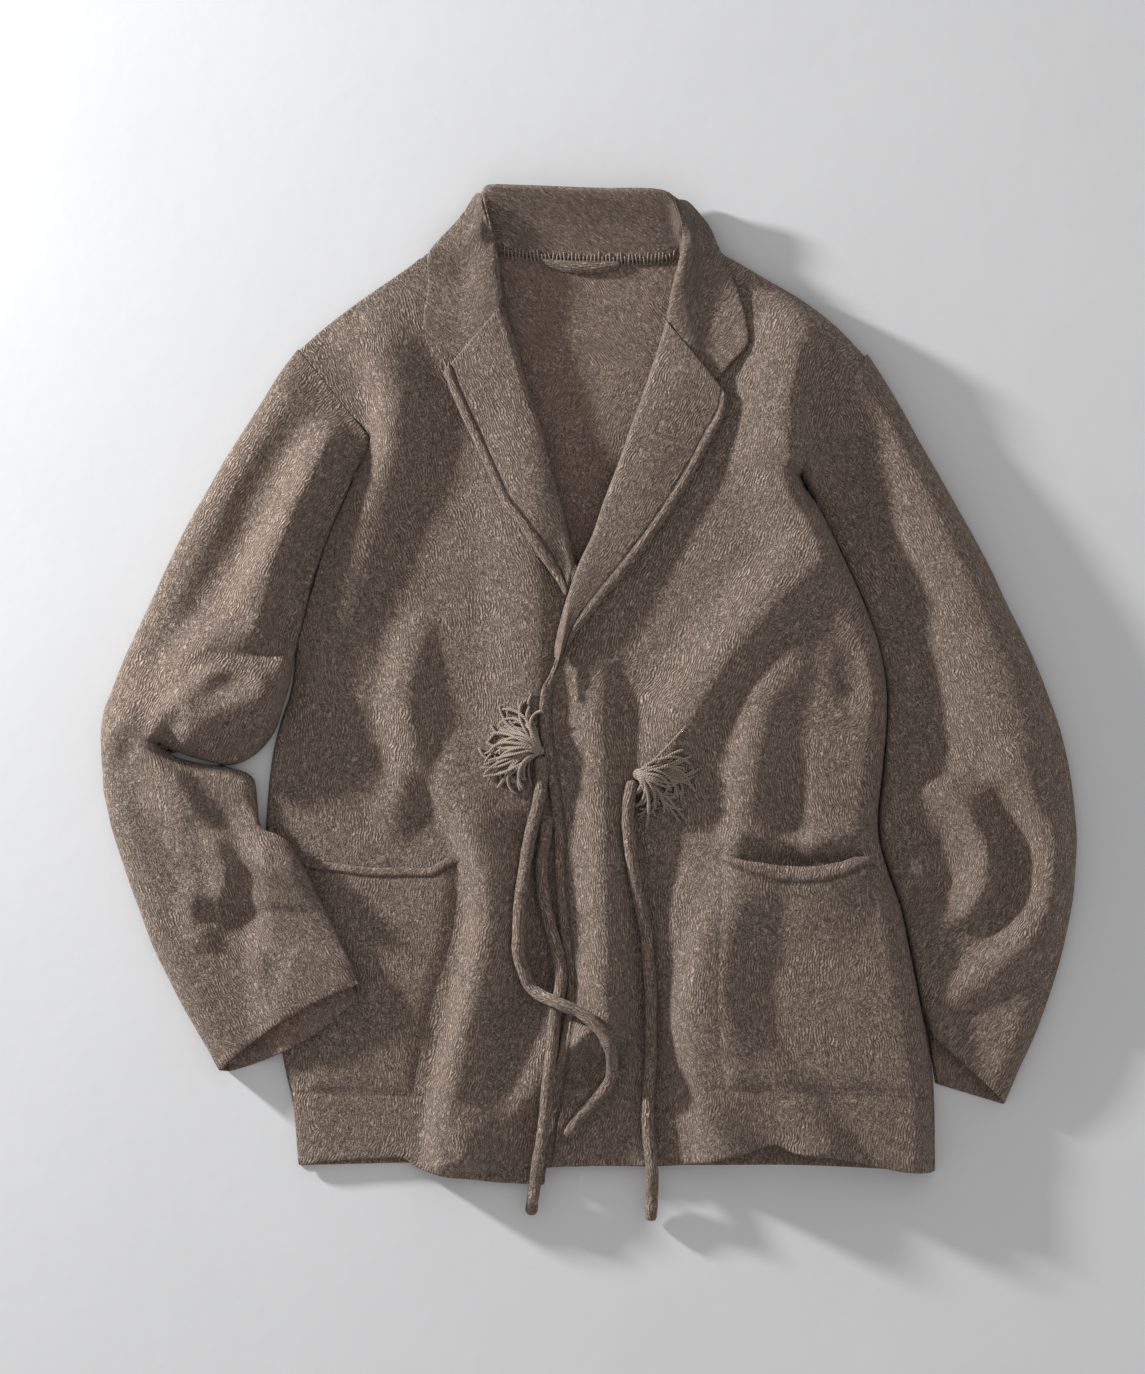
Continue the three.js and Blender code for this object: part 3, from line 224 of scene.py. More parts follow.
# Pale lime plaster, trowelled smooth: matte, with a faint cloudiness.
plaster, plasterTree, plasterShader = newLook("pale plaster")
plasterPlace = addNode(plasterTree, "ShaderNodeTexCoord").outputs["Object"]
plasterClouds = addNode(plasterTree, "ShaderNodeTexNoise", {},
                        {"Vector": plasterPlace, "Scale": 5.0, "Detail": 8.0, "Roughness": 0.6})
plasterRamp = addNode(plasterTree, "ShaderNodeValToRGB", {}, {"Fac": plasterClouds})
plasterRamp.color_ramp.elements[0].color = colour("#d3d4d6")
plasterRamp.color_ramp.elements[1].color = colour("#dcdddf")
plasterGrain = addNode(plasterTree, "ShaderNodeTexNoise", {},
                       {"Vector": plasterPlace, "Scale": 60.0, "Detail": 6.0})
plasterBump = addNode(plasterTree, "ShaderNodeBump", {},
                      {"Height": plasterGrain, "Strength": 0.3, "Distance": 0.0005})
plasterTree.links.new(plasterRamp.outputs[0], plasterShader.inputs["Base Color"])
plasterTree.links.new(plasterBump.outputs[0], plasterShader.inputs["Normal"])
plasterShader.inputs["Roughness"].default_value = 0.9

bpy.ops.mesh.primitive_plane_add(size=12)
floor = bpy.context.object
floor.name = "floor"
floor.data.materials.append(plaster)
print("stage: materials and floor made")


# Outlines in plan, mm: x, y. East is the wearer's left.
rightArmhole = [(-225, 261), (-207, 238), (-189, 215), (-171, 193)]
rightSide = [(-171, 193), (-185, 156), (-204, 112), (-219, 62), (-226, 34), (-231, -5), (-239, -30),
    (-245, -55), (-250, -106), (-250, -153), (-246, -207), (-242, -258), (-235, -301), (-229, -328),
    (-225, -374)]
leftArmhole = [(216, 254), (203, 231), (190, 208), (178, 186), (165, 163)]
leftSide = [(165, 163), (180, 136), (197, 101), (213, 66), (225, 33), (231, 3), (232, -23), (229, -63),
    (225, -114), (233, -147), (242, -172), (249, -204), (256, -239), (263, -278), (267, -317), (268, -379)]
rightShoulder = [(-225, 261), (-204, 279), (-179, 298), (-147, 320), (-126, 334), (-104, 340), (-83, 342)]
leftShoulder = [(84, 339), (96, 338), (109, 332), (135, 317), (166, 299), (193, 278), (216, 254)]
rightInner = [(-83, 342), (-73, 324), (-67, 297), (-60, 275), (-54, 253), (-46, 225), (-37, 197),
    (-29, 163), (-21, 136), (-12, 103), (-4, 69), (1, 34), (5, -5), (5, -51), (3, -106), (-1, -153),
    (-8, -200), (-16, -239), (-23, -285), (-30, -332), (-36, -389)]
leftInner = [(84, 339), (73, 324), (66, 306), (60, 285), (54, 262), (48, 244), (40, 220), (32, 198),
    (23, 172), (12, 144), (2, 115), (-8, 94), (-17, 69), (-23, 46), (-27, 23), (-35, -3), (-37, -28),
    (-34, -55), (-29, -87), (-26, -114), (-25, -145), (-23, -176), (-20, -204), (-17, -227), (-17, -249),
    (-21, -274), (-25, -301), (-30, -328), (-34, -352), (-37, -375)]
rightHem = [(-225, -374), (-202, -371), (-171, -369), (-144, -369), (-135, -375), (-116, -382),
    (-85, -386), (-36, -389)]
leftHem = [(-37, -375), (9, -374), (55, -374), (87, -371), (118, -364), (144, -357), (158, -363),
    (196, -368), (246, -378), (268, -379)]
backNeck = [(-83, 342), (-70, 336), (-54, 334), (-23, 330), (24, 329), (58, 330), (69, 332), (84, 339)]
backHem = [(-225, -374), (-132, -372), (-37, -373), (87, -374), (165, -374), (268, -379)]

# Folds, mm: width west of the crest, width east, length of the ends, then x, y, height along it.
bodyFolds = [
    (22, 42, 22, [(-185, 270, 4), (-165, 254, 9), (-153, 222, 12), (-155, 183, 11), (-169, 144, 9),
        (-183, 97, 8), (-194, 58, 7), (-206, 19, 5), (-214, -12, 3)]),
    (50, 26, 30, [(-54, 190, 3), (-46, 128, 6), (-42, 66, 7), (-42, 3, 7), (-46, -44, 6), (-50, -90, 4)]),
    (29, 22, 20, [(-133, 44, 3), (-141, 3, 8), (-141, -36, 9), (-140, -67, 8), (-147, -90, 6),
        (-151, -108, 3)]),
    (22, 22, 22, [(-190, 27, -3), (-198, -12, -4), (-210, -59, -3), (-218, -90, -2)]),
    (19, 48, 24, [(-128, -50, 3), (-111, -83, 10), (-94, -114, 14), (-83, -145, 15), (-81, -184, 15),
        (-87, -223, 15), (-96, -262, 15), (-105, -301, 15), (-111, -340, 15), (-114, -375, 15)]),
    (35, 24, 20, [(-13, -246, 5), (-23, -278, 8), (-42, -313, 9), (-69, -344, 8), (-93, -371, 6)]),
    (28, 26, 11, [(1, 19, 3), (7, -12, 9), (10, -59, 11), (11, -106, 12), (12, -153, 13), (13, -200, 14),
        (13, -239, 14), (12, -270, 14), (10, -282, 13)]),
    (12, 14, 9, [(-10, -264, 5), (-7, -281, 6)]),
    (40, 30, 26, [(192, 108, 4), (165, 85, 8), (137, 59, 11), (110, 28, 12), (87, -5, 11), (67, -40, 9),
        (51, -75, 6), (48, -106, 3)]),
    (50, 24, 30, [(174, 285, 4), (161, 261, 9), (154, 222, 12), (153, 183, 12), (162, 144, 9),
        (180, 108, 6)]),
    (22, 32, 20, [(157, 23, 4), (135, -12, 7), (127, -51, 8), (122, -90, 7), (114, -118, 4)]),
    (24, 24, 22, [(157, -67, -3), (154, -94, -6), (158, -122, -5)]),
    (20, 20, 20, [(202, 16, -3), (205, -6, -4)]),
    (20, 56, 20, [(112, -123, 5), (104, -153, 10), (93, -184, 13), (84, -215, 14), (79, -246, 15),
        (77, -266, 15), (82, -293, 14), (89, -324, 13), (96, -356, 12), (99, -374, 11)]),
    (40, 28, 20, [(93, -219, 1), (108, -262, 5), (135, -305, 8), (165, -336, 9), (186, -362, 8)]),
    (22, 22, 20, [(51, -168, -2), (48, -246, -4), (51, -324, -4), (59, -371, -3)]),
    (27, 14, 16, [(90, -114, 2), (87, -145, 5), (75, -176, 5), (63, -204, 2)]),
]
rightSleeveFolds = [
    (32, 28, 24, [(-177, 206, 8), (-206, 173, 11), (-229, 128, 12), (-245, 81, 12), (-261, 42, 12),
        (-292, 23, 11), (-323, -5, 9), (-350, -27, 7), (-372, -42, 5)]),
    (24, 24, 24, [(-225, 198, -3), (-255, 151, -4), (-276, 105, -4), (-300, 58, -3)]),
    (21, 21, 20, [(-186, 179, -8), (-208, 136, -10), (-225, 89, -10), (-237, 42, -8)]),
    (19, 19, 18, [(-202, 259, -4), (-190, 233, -5)]),
    (14, 55, 20, [(-233, 16, 9), (-261, 12, 11), (-292, 6, 11), (-315, -10, 10), (-333, -30, 8)]),
    (31, 24, 20, [(-341, -50, 6), (-323, -83, 10), (-301, -118, 12), (-286, -145, 10), (-294, -172, 7),
        (-300, -192, 5)]),
    (21, 21, 18, [(-292, -180, -6), (-257, -188, -8), (-218, -190, -7), (-186, -198, -5)]),
    (11, 11, 11, [(-243, -211, -4), (-245, -235, -3)]),
]
leftSleeveFolds = [
    (48, 40, 40, [(227, 237, 3), (258, 167, 7), (285, 97, 9), (309, 34, 10), (328, -20, 10),
        (344, -67, 8)]),
    (36, 36, 30, [(184, 190, -5), (204, 128, -8), (231, 66, -8), (252, -5, -8), (262, -59, -6)]),
    (16, 16, 14, [(266, -81, 5), (291, -97, 8), (308, -126, 9), (308, -153, 9), (296, -175, 7),
        (274, -186, 4)]),
    (24, 24, 20, [(324, -59, 5), (348, -90, 8), (361, -129, 9), (358, -168, 9), (340, -200, 9),
        (317, -219, 8), (285, -243, 6)]),
    (16, 16, 16, [(321, -90, -4), (335, -129, -5), (328, -168, -5), (309, -196, -4)]),
    (9, 9, 8, [(249, -136, 5), (260, -147, 4)]),
    (14, 14, 14, [(243, -114, -5), (270, -122, -5), (282, -145, -5), (270, -168, -5), (246, -184, -4)]),
]

cloth = {"back": 2.5, "front": 2.5, "sleeve": 2.2, "trim": 2.4, "edge": 5.3, "foldScale": 1.3,
         "sideRound": 17, "shoulderRound": 22, "rest": 1.0}
moveBy = np.array([0.25, 0.211, 0.0])  # from the tables to the frame's origin


def smooth(t):
    k = np.clip(t, 0, 1)
    return k * k * (3 - 2 * k)


def rounding(away, radius):
    t = np.clip(away / radius, 0, 1)
    return np.sqrt(1 - (1 - t) ** 2)


# Nearest place on an open line: distance, side (+1 east where it runs south), value, past an end.
def nearest(line, x, y):
    x, y = np.asarray(x, float), np.asarray(y, float)
    away = np.full(x.shape, 1e9)
    side = np.ones(x.shape)
    value = np.zeros(x.shape)
    past = np.zeros(x.shape, bool)
    rows = [tuple(row) + (0,) * (3 - len(row)) for row in line]
    for i, (a, b) in enumerate(zip(rows, rows[1:])):
        dx, dy = b[0] - a[0], b[1] - a[1]
        raw = ((x - a[0]) * dx + (y - a[1]) * dy) / (dx * dx + dy * dy)
        t = np.clip(raw, 0, 1)
        gap = np.hypot(x - a[0] - dx * t, y - a[1] - dy * t)
        near = gap < away - 1e-9
        beyond = ((i == 0) & (raw < 0)) | ((i == len(rows) - 2) & (raw > 1))
        cross = dx * (y - a[1]) - dy * (x - a[0])
        away = np.where(near, gap, away)
        side = np.where(near, np.where(cross >= 0, 1, -1), side)
        value = np.where(near, a[2] + (b[2] - a[2]) * t, value)
        past = np.where(near, beyond, past)
    return away, side, value, past


def foldsAt(folds, x, y):
    total = np.zeros(np.shape(x))
    for west, east, tip, line in folds:
        away, side, value, past = nearest(line, x, y)
        width = np.where(side > 0, east, west)
        width = np.where(past, np.minimum(width, tip), width)
        total += cloth["foldScale"] * value * np.clip(1 - (away / width) ** 2, 0, 1) ** 2
    return total


def ripple(x, y):  # the slight unevenness of soft cloth that has been handled
    slow = np.sin(x / 19 + 1.4 * np.sin(y / 47)) * np.sin(y / 27 + 1.1 * np.sin(x / 39))
    quick = np.sin(x / 9.5 + 2.1 * np.sin(y / 21) + 0.7) * np.sin(y / 12.5 + 1.7 * np.sin(x / 17))
    return 0.42 * slow + 0.16 * quick


# A height is worked out once on a 2 mm raster and softened, so that no fold shows a hard kink.
raster = {"low": -440.0, "step": 2.0, "count": 441, "soften": 1.6}
axis = raster["low"] + raster["step"] * np.arange(raster["count"])
rasterX, rasterY = np.meshgrid(axis, axis)


def softened(height):
    reach = int(3 * raster["soften"])
    kernel = np.exp(-0.5 * (np.arange(-reach, reach + 1) / raster["soften"]) ** 2)
    kernel /= kernel.sum()
    for turn in (0, 1):
        padded = np.pad(height, [(reach, reach) if k == turn else (0, 0) for k in (0, 1)], mode="edge")
        height = sum(w * np.take(padded, np.arange(i, i + raster["count"]), axis=turn)
                     for i, w in enumerate(kernel))
    return height


def reading(height):
    def at(x, y):
        u = np.clip((np.asarray(x, float) - raster["low"]) / raster["step"], 0, raster["count"] - 1.001)
        v = np.clip((np.asarray(y, float) - raster["low"]) / raster["step"], 0, raster["count"] - 1.001)
        i, j = u.astype(int), v.astype(int)
        p, q = u - i, v - j
        return ((height[j, i] * (1 - p) + height[j, i + 1] * p) * (1 - q)
                + (height[j + 1, i] * (1 - p) + height[j + 1, i + 1] * p) * q)
    return at


# Smaller creases than the frame's solids have, in the same columns as the folds.
bodyCreases = [
    (9, 9, 10, [(-205, -150, 0.5), (-190, -160, 1.2), (-168, -158, 0.6)]),
    (13, 9, 10, [(118, -112, 2), (142, -120, 5), (175, -122, 5), (203, -116, 2)]),
    (9, 10, 10, [(128, -136, -4), (150, -140, -7), (185, -140, -7), (208, -133, -4)]),
    (9, 10, 7, [(-17, -287, 4), (-8, -278, 9), (2, -268, 7)]),
    (10, 8, 9, [(-22, -304, -4), (-8, -303, -9), (8, -299, -9), (22, -290, -6)]),
    (16, 12, 12, [(-6, -215, 2), (14, -250, 3), (22, -272, 5), (16, -287, 4)]),
]
rightSleeveCreases = [
    (14, 28, 14, [(-286, -124, 4), (-258, -137, 8), (-228, -150, 8), (-204, -162, 4)]),
    (46, 9, 16, [(-236, -22, 7), (-256, -36, 11), (-284, -43, 11), (-314, -45, 6)]),
    (26, 20, 14, [(-246, -6, 4), (-270, -12, 6), (-294, -20, 6), (-318, -34, 3)]),
    (14, 14, 12, [(-308, -112, -3), (-296, -148, -5), (-298, -180, -4)]),
    (22, 18, 18, [(-222, 148, 1), (-246, 108, 3), (-270, 72, 4), (-296, 42, 4), (-318, 14, 2)]),
    (22, 24, 16, [(-206, 150, 2), (-222, 100, 3), (-236, 56, 2)]),
]


# Heights of the body's upper face, mm: it rises towards its left side and sinks at the left neck.
body = {"least": 7, "bulk": 8, "leftRise": 20, "neckSink": 7, "covered": 5.7, "overlap": 4.2}


def laidHeight(x, y):
    neck = smooth((y - 220) / 80) * (1 - smooth((x - 100) / 70)) * smooth((x - 20) / 40)
    bulk = body["bulk"] + body["leftRise"] * smooth((x + 40) / 240) - body["neckSink"] * neck
    folds = bulk + foldsAt(bodyFolds, x, y) + foldsAt(bodyCreases, x, y)
    return np.maximum(body["least"], folds + ripple(x, y))


bodyHeight = reading(softened(laidHeight(rasterX, rasterY)))


# A centripetal curve through rows, read at shares of its length or of its rows.
def curveThrough(rows, byLength=True, dense=24):
    p = np.array([tuple(row) + (0,) * (3 - len(row)) for row in rows], float)
    p = np.vstack([2 * p[:1] - p[1:2], p, 2 * p[-1:] - p[-2:-1]])
    parts = []
    for a, b, c, d in zip(p, p[1:], p[2:], p[3:]):
        k = [max(1e-4, np.linalg.norm(v) ** 0.5) for v in (b - a, c - b, d - c)]
        t1 = ((b - a) / k[0] - (c - a) / (k[0] + k[1]) + (c - b) / k[1]) * k[1]
        t2 = ((c - b) / k[1] - (d - b) / (k[1] + k[2]) + (d - c) / k[2]) * k[1]
        w = np.linspace(0, 1, dense, endpoint=False)[:, None]
        square, cube = 3 * c - 3 * b - 2 * t1 - t2, 2 * b - 2 * c + t1 + t2
        parts.append(b + t1 * w + square * w ** 2 + cube * w ** 3)
    points = np.vstack(parts + [p[-2:-1]])
    steps = np.linalg.norm(np.diff(points, axis=0), axis=1)
    along = np.concatenate([[0], np.cumsum(steps)]) if byLength else np.arange(len(points), dtype=float)
    along /= along[-1]
    return lambda shares: np.stack([np.interp(shares, along, points[:, k]) for k in range(3)], axis=-1)


def fineLine(rows, count=90, below=None):  # the curve that an edge really follows, as short steps
    points = curveThrough(rows)(np.linspace(0, 1, count))[:, :2]
    return [tuple(p) for p in points.tolist() if below is None or p[1] <= below]


rightSideFine = fineLine(rightArmhole + rightSide[1:], 70, below=rightSide[0][1] + 1)
leftSideFine = fineLine(leftArmhole + leftSide[1:], 70, below=leftSide[0][1] + 1)
rightShoulderFine = fineLine(rightShoulder, 22)
leftShoulderFine = fineLine(leftShoulder, 22)
rightInnerFine = fineLine(rightInner, 64)
leftInnerFine = fineLine(leftInner, 72)


def bodyTop(x, y):
    side = np.minimum(nearest(rightSideFine, x, y)[0], nearest(leftSideFine, x, y)[0])
    shoulder = np.minimum(nearest(rightShoulderFine, x, y)[0], nearest(leftShoulderFine, x, y)[0])
    lift = rounding(side, cloth["sideRound"]) * rounding(shoulder, cloth["shoulderRound"])
    return cloth["edge"] + (bodyHeight(x, y) - cloth["edge"]) * lift


# The left front laps over the right one, whose covered margin lies low.
def rightTop(x, y):
    away, side, _, _ = nearest(leftInnerFine, x, y)
    covered = np.where(side > 0, smooth(away / 14) * smooth((-y + 40) / 60), 0)
    top = bodyTop(x, y)
    return top + (body["covered"] - top) * covered * 0.98


def leftTop(x, y):
    near = 1 - smooth((nearest(leftInnerFine, x, y)[0] - 20) / 45)
    return bodyTop(x, y) + body["overlap"] * near


# Plan of a panel between four edges; left and right run from the top edge to the bottom edge.
def panelPlan(top, bottom, left, right, across, down):
    t, b = [curveThrough(edge)(across)[None] for edge in (top, bottom)]
    l, r = [curveThrough(edge)(down)[:, None] for edge in (left, right)]
    u, v = across[None, :, None], down[:, None, None]
    blend = (1 - v) * t + v * b + (1 - u) * l + u * r
    blend -= (1 - v) * ((1 - u) * t[:, :1] + u * t[:, -1:]) + v * ((1 - u) * b[:, :1] + u * b[:, -1:])
    return blend[..., 0], blend[..., 1]


def crowded(start, end, count, power):  # shares that crowd towards the start
    return start + (end - start) * np.linspace(0, 1, count) ** power


def gridNormals(grid, closed=False):
    if closed:
        across = np.roll(grid, -1, axis=1) - np.roll(grid, 1, axis=1)
    else:
        across = np.gradient(grid, axis=1)
    turned = np.cross(across, np.gradient(grid, axis=0))
    return turned / np.maximum(1e-9, np.linalg.norm(turned, axis=2, keepdims=True))


def onTop(x, y, height):
    return np.stack([x, y, height(x, y)], axis=-1)


def facingUp(grid):
    n = gridNormals(grid)
    return n * np.sign(n[..., 2:3] + 1e-9)


# A place on a panel, moved out along its slope.
def lifted(x, y, height, out):
    d = 1.5
    slopeX = (height(x + d, y) - height(x - d, y)) / (2 * d)
    slopeY = (height(x, y + d) - height(x, y - d)) / (2 * d)
    n = np.stack([-slopeX, -slopeY, np.ones_like(slopeX)], axis=-1)
    n /= np.linalg.norm(n, axis=-1, keepdims=True)
    return np.stack([x, y, height(x, y)], axis=-1) + n * np.asarray(out)[..., None]


# Lengths along a grid, for the knit: across the wales and along them, mm.
def knitMap(grid, fromColumn=0, fromRow=0, closed=False):
    ring = np.concatenate([grid, grid[:, :1]], axis=1) if closed else grid
    across = np.cumsum(np.linalg.norm(np.diff(ring, axis=1), axis=2), axis=1)
    across = np.concatenate([np.zeros((len(grid), 1)), across], axis=1)
    down = np.cumsum(np.linalg.norm(np.diff(ring, axis=0), axis=2), axis=0)
    down = np.concatenate([np.zeros((1, ring.shape[1])), down], axis=0)
    return np.stack([across - across[:, [fromColumn]], down - down[[fromRow]]], axis=-1)


# A mesh from faces of four, or of three where the last corner repeats. Marks are distances in mm.
def makeMesh(name, points, faces, corners, looks, slots=None, marks=None):
    p = (np.asarray(points) + moveBy) / 1000
    a, b, c, d = [p[faces[:, k]] for k in range(4)]
    volume = np.einsum("ij,ij->", a, np.cross(b, c)) + np.einsum("ij,ij->", a, np.cross(c, d))
    if volume < 0:
        faces, corners = faces[:, ::-1], corners[:, ::-1]
    sides = np.where(faces[:, 2] == faces[:, 3], 3, 4)
    kept = np.arange(4)[None] < sides[:, None]
    mesh = bpy.data.meshes.new(name)
    mesh.from_pydata(p.tolist(), [], [face[:n] for face, n in zip(faces.tolist(), sides.tolist())])
    knit = mesh.uv_layers.new(name="knit")
    knit.data.foreach_set("uv", (corners[kept] / 1000).ravel())
    for look in looks:
        mesh.materials.append(look)
    if slots is not None:
        mesh.polygons.foreach_set("material_index", slots)
    mesh.polygons.foreach_set("use_smooth", np.ones(len(faces), bool))
    far = np.full(len(p), 99.0)
    for key in ("seam", "edging", "border"):
        values = (marks or {}).get(key, far).astype(np.float32)
        mesh.attributes.new(key, "FLOAT", "POINT").data.foreach_set("value", values)
    mesh.update()
    piece = bpy.data.objects.new(name, mesh)
    bpy.context.collection.objects.link(piece)
    return piece


def lengthOf(rows):
    return np.maximum(1e-9, np.linalg.norm(rows, axis=-1, keepdims=True))


# A closed wall of cloth between two grids, with half-round rims.
def clothPiece(name, outer, inner, knit, looks, closed=False, marks=None):
    rows, cols = outer.shape[:2]
    wide = knit.shape[1]
    cells = cols if closed else cols - 1
    r, c = [v.ravel() for v in np.meshgrid(np.arange(rows - 1), np.arange(cells), indexing="ij")]

    def place(row, column):
        return row * cols + column % cols

    def at(row, column):
        return knit.reshape(-1, 2)[row * wide + column]

    quads = np.stack([place(r, c), place(r, c + 1), place(r + 1, c + 1), place(r + 1, c)], axis=1)
    maps = np.stack([at(r, c), at(r, c + 1), at(r + 1, c + 1), at(r + 1, c)], axis=1)
    points = [outer.reshape(-1, 3), inner.reshape(-1, 3)]
    faces = [quads, quads[:, ::-1] + rows * cols]
    corners = [maps, maps[:, ::-1]]
    slots = [np.zeros(len(quads), int), np.ones(len(quads), int)]
    keep = {key: [v.ravel(), v.ravel()] for key, v in (marks or {}).items()}
    full = 2 * rows * cols
    if closed:
        loops = [[(0, k) for k in range(cols + 1)], [(rows - 1, cols - k) for k in range(cols + 1)]]
    else:
        there = [(0, k) for k in range(cols)] + [(k, cols - 1) for k in range(1, rows)]
        backAgain = [(rows - 1 - row, cols - 1 - column) for row, column in there]
        loops = [there + backAgain[1:]]
    for loop in loops:
        rr, cc = np.array(loop).T
        base = place(rr, cc)
        out = np.zeros((len(rr), 3))
        knitOut = np.zeros((len(rr), 2))
        edges = [(rr == 0, 1, 0), (rr == rows - 1, -1, 0)]
        if not closed:
            edges += [(cc == 0, 0, 1), (cc == cols - 1, 0, -1)]
        for edge, stepR, stepC in edges:
            other = np.clip(rr + stepR, 0, rows - 1), cc + stepC
            away = points[0][base] - points[0][place(other[0], other[1])]
            turn = at(rr, cc) - at(other[0], np.clip(other[1], 0, wide - 1))
            out += edge[:, None] * away / lengthOf(away)
            knitOut += edge[:, None] * turn / lengthOf(turn)
        out /= lengthOf(out)
        middle = (points[0][base] + points[1][base]) / 2
        half = (points[0][base] - points[1][base]) / 2
        thick = np.linalg.norm(half, axis=1, keepdims=True)
        rings, ringMaps = [base], [at(rr, cc)]
        last = len(rr) - 1
        for degrees in (45, 90, 135):
            angle = math.radians(degrees)
            ring = middle + half * math.cos(angle) + out * thick * math.sin(angle)
            rings.append(np.append(full + np.arange(last), full))
            ringMaps.append(at(rr, cc) + knitOut * thick * angle)
            points.append(ring[:last])
            for key in keep:
                keep[key].append(keep[key][0][base][:last])
            full += last
        rings.append(base + rows * cols)
        ringMaps.append(at(rr, cc) + knitOut * thick * math.pi)
        j = np.arange(len(rr) - 1)
        for k in range(4):
            near, far = rings[k], rings[k + 1]
            nearMap, farMap = ringMaps[k], ringMaps[k + 1]
            faces.append(np.stack([near[j + 1], near[j], far[j], far[j + 1]], axis=1))
            corners.append(np.stack([nearMap[j + 1], nearMap[j], farMap[j], farMap[j + 1]], axis=1))
            slots.append(np.zeros(len(j), int))
    kept = {key: np.concatenate(values) for key, values in keep.items()}
    return makeMesh(name, np.vstack(points), np.vstack(faces), np.vstack(corners), looks,
                    np.concatenate(slots), kept)


def restPiece(piece, node):
    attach(piece, "root")
    if node:
        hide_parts(node)


# Back: flat on the floor; its inside shows in the neck.
back = {"inset": 1.2, "sideOut": 0.6, "underarm": 9}


def moved(rows, dx, dy=0.0):
    return [(x + dx, y + dy) for x, y in rows]


def endToEnd(*parts):  # shares that go on where the last ones end
    return np.concatenate([parts[0]] + [part[1:] for part in parts[1:]])


k, out = back["inset"], back["sideOut"]
backX, backY = panelPlan(
    moved(rightShoulder[:-1], k, -k) + backNeck + moved(leftShoulder[1:], -k, -k),
    moved(backHem[:1], -out) + backHem[1:-1] + moved(backHem[-1:], out),
    moved(rightArmhole[:-1], k, -k) + moved(rightSide[:1], back["underarm"]) + moved(rightSide[1:], -out),
    moved(leftArmhole[:-1], -k, -k) + moved(leftSide[:1], -back["underarm"]) + moved(leftSide[1:], out),
    np.linspace(0, 1, 150), np.linspace(0, 1, 210))
backGrid = np.stack([backX, backY, np.full_like(backX, cloth["back"])], axis=-1)
backUnder = np.stack([backX, backY, np.zeros_like(backX)], axis=-1)
backPiece = clothPiece("back_cloth", backGrid, backUnder, knitMap(backGrid), [reverse, wool],
                       marks={"border": np.abs(backY - backY[-1:])})
restPiece(backPiece, "back")
print("stage: back made")

# Fronts: rounded down to the back along the side and the shoulder.
front = {"edging": 7.0, "bulge": 0.9, "drawnBack": 3.2}
acrossShares = endToEnd(crowded(0, 0.11, 13, 2), np.linspace(0.11, 0.955, 78), np.linspace(0.955, 1, 12))
downShares = endToEnd(crowded(0, 0.03, 10, 2), np.linspace(0.03, 0.985, 235), np.linspace(0.985, 1, 9))
rightX, rightY = panelPlan(rightShoulder, rightHem, rightArmhole + rightSide[1:], rightInner,
                           acrossShares, downShares)
leftX, leftY = panelPlan(leftShoulder[::-1], leftHem[::-1], leftArmhole + leftSide[1:], leftInner,
                         acrossShares, downShares)


def edgingBulge(away, wide, high):
    return high * np.sqrt(np.clip(1 - ((away - wide * 0.48) / (wide * 0.52)) ** 2, 0, 1))


def frontPiece(name, x, y, height, innerEdge, hemSeam, foldTop):
    # under its lapel the edge draws back, so that the lapel's roll wraps round it
    hidden = smooth((y[:, -1:] - foldTop + 6) / 14)
    share = (x - x[:, :1]) / (x[:, -1:] - x[:, :1])
    nearEdge = smooth((share - 0.9) / 0.1)
    x = x - front["drawnBack"] * hidden * nearEdge * np.sign(x[:, -1:] - x[:, :1])
    away = nearest(innerEdge, x, y)[0]
    open_ = 1 - smooth((y - foldTop + 10) / 10)
    face = onTop(x, y, height)
    under = face - cloth["front"] * facingUp(face)
    grid = face.copy()
    grid[..., 2] += edgingBulge(away, front["edging"], front["bulge"]) * open_
    down, side, _, _ = nearest(hemSeam, x, y)
    inRange = (x > hemSeam[0][0]) & (x < hemSeam[-1][0])
    seam = np.where(inRange, down * side, 99.0 * side)
    edging = np.where(open_ > 0.02, away - front["edging"], 99.0)
    marks = {"seam": seam, "edging": edging, "border": np.abs(y - y[-1:])}
    return clothPiece(name, grid, under, knitMap(grid, fromColumn=-1), [wool, reverse], marks=marks)


rightPiece = frontPiece("right_front_cloth", rightX, rightY, rightTop, rightInnerFine,
                        [(-236, -318), (-180, -320), (-128, -321)], 96)
restPiece(rightPiece, "right_front")
leftPiece = frontPiece("left_front_cloth", leftX, leftY, leftTop, leftInnerFine,
                       [(94, -313), (165, -317), (266, -322)], 2)
restPiece(leftPiece, "left_front")
print("stage: fronts made")

# Lapels: they wrap the front's edge, rise at the roll and end in a raised edging.
lapel = {"roll": 6.0, "edging": 7.0, "bulge": 1.4, "rise": 6.5}
lapelShares = endToEnd(crowded(0, 0.16, 10, 1.6), np.linspace(0.16, 0.8, 24), np.linspace(0.8, 1, 18))
# the wrap round the front's edge, mm: in from the edge, up from the front's face, thickness
wrapDown = [(1.25, -1.9, 1.3), (0.4, -1.05, 1.3), (0.05, 0.2, 1.35)]


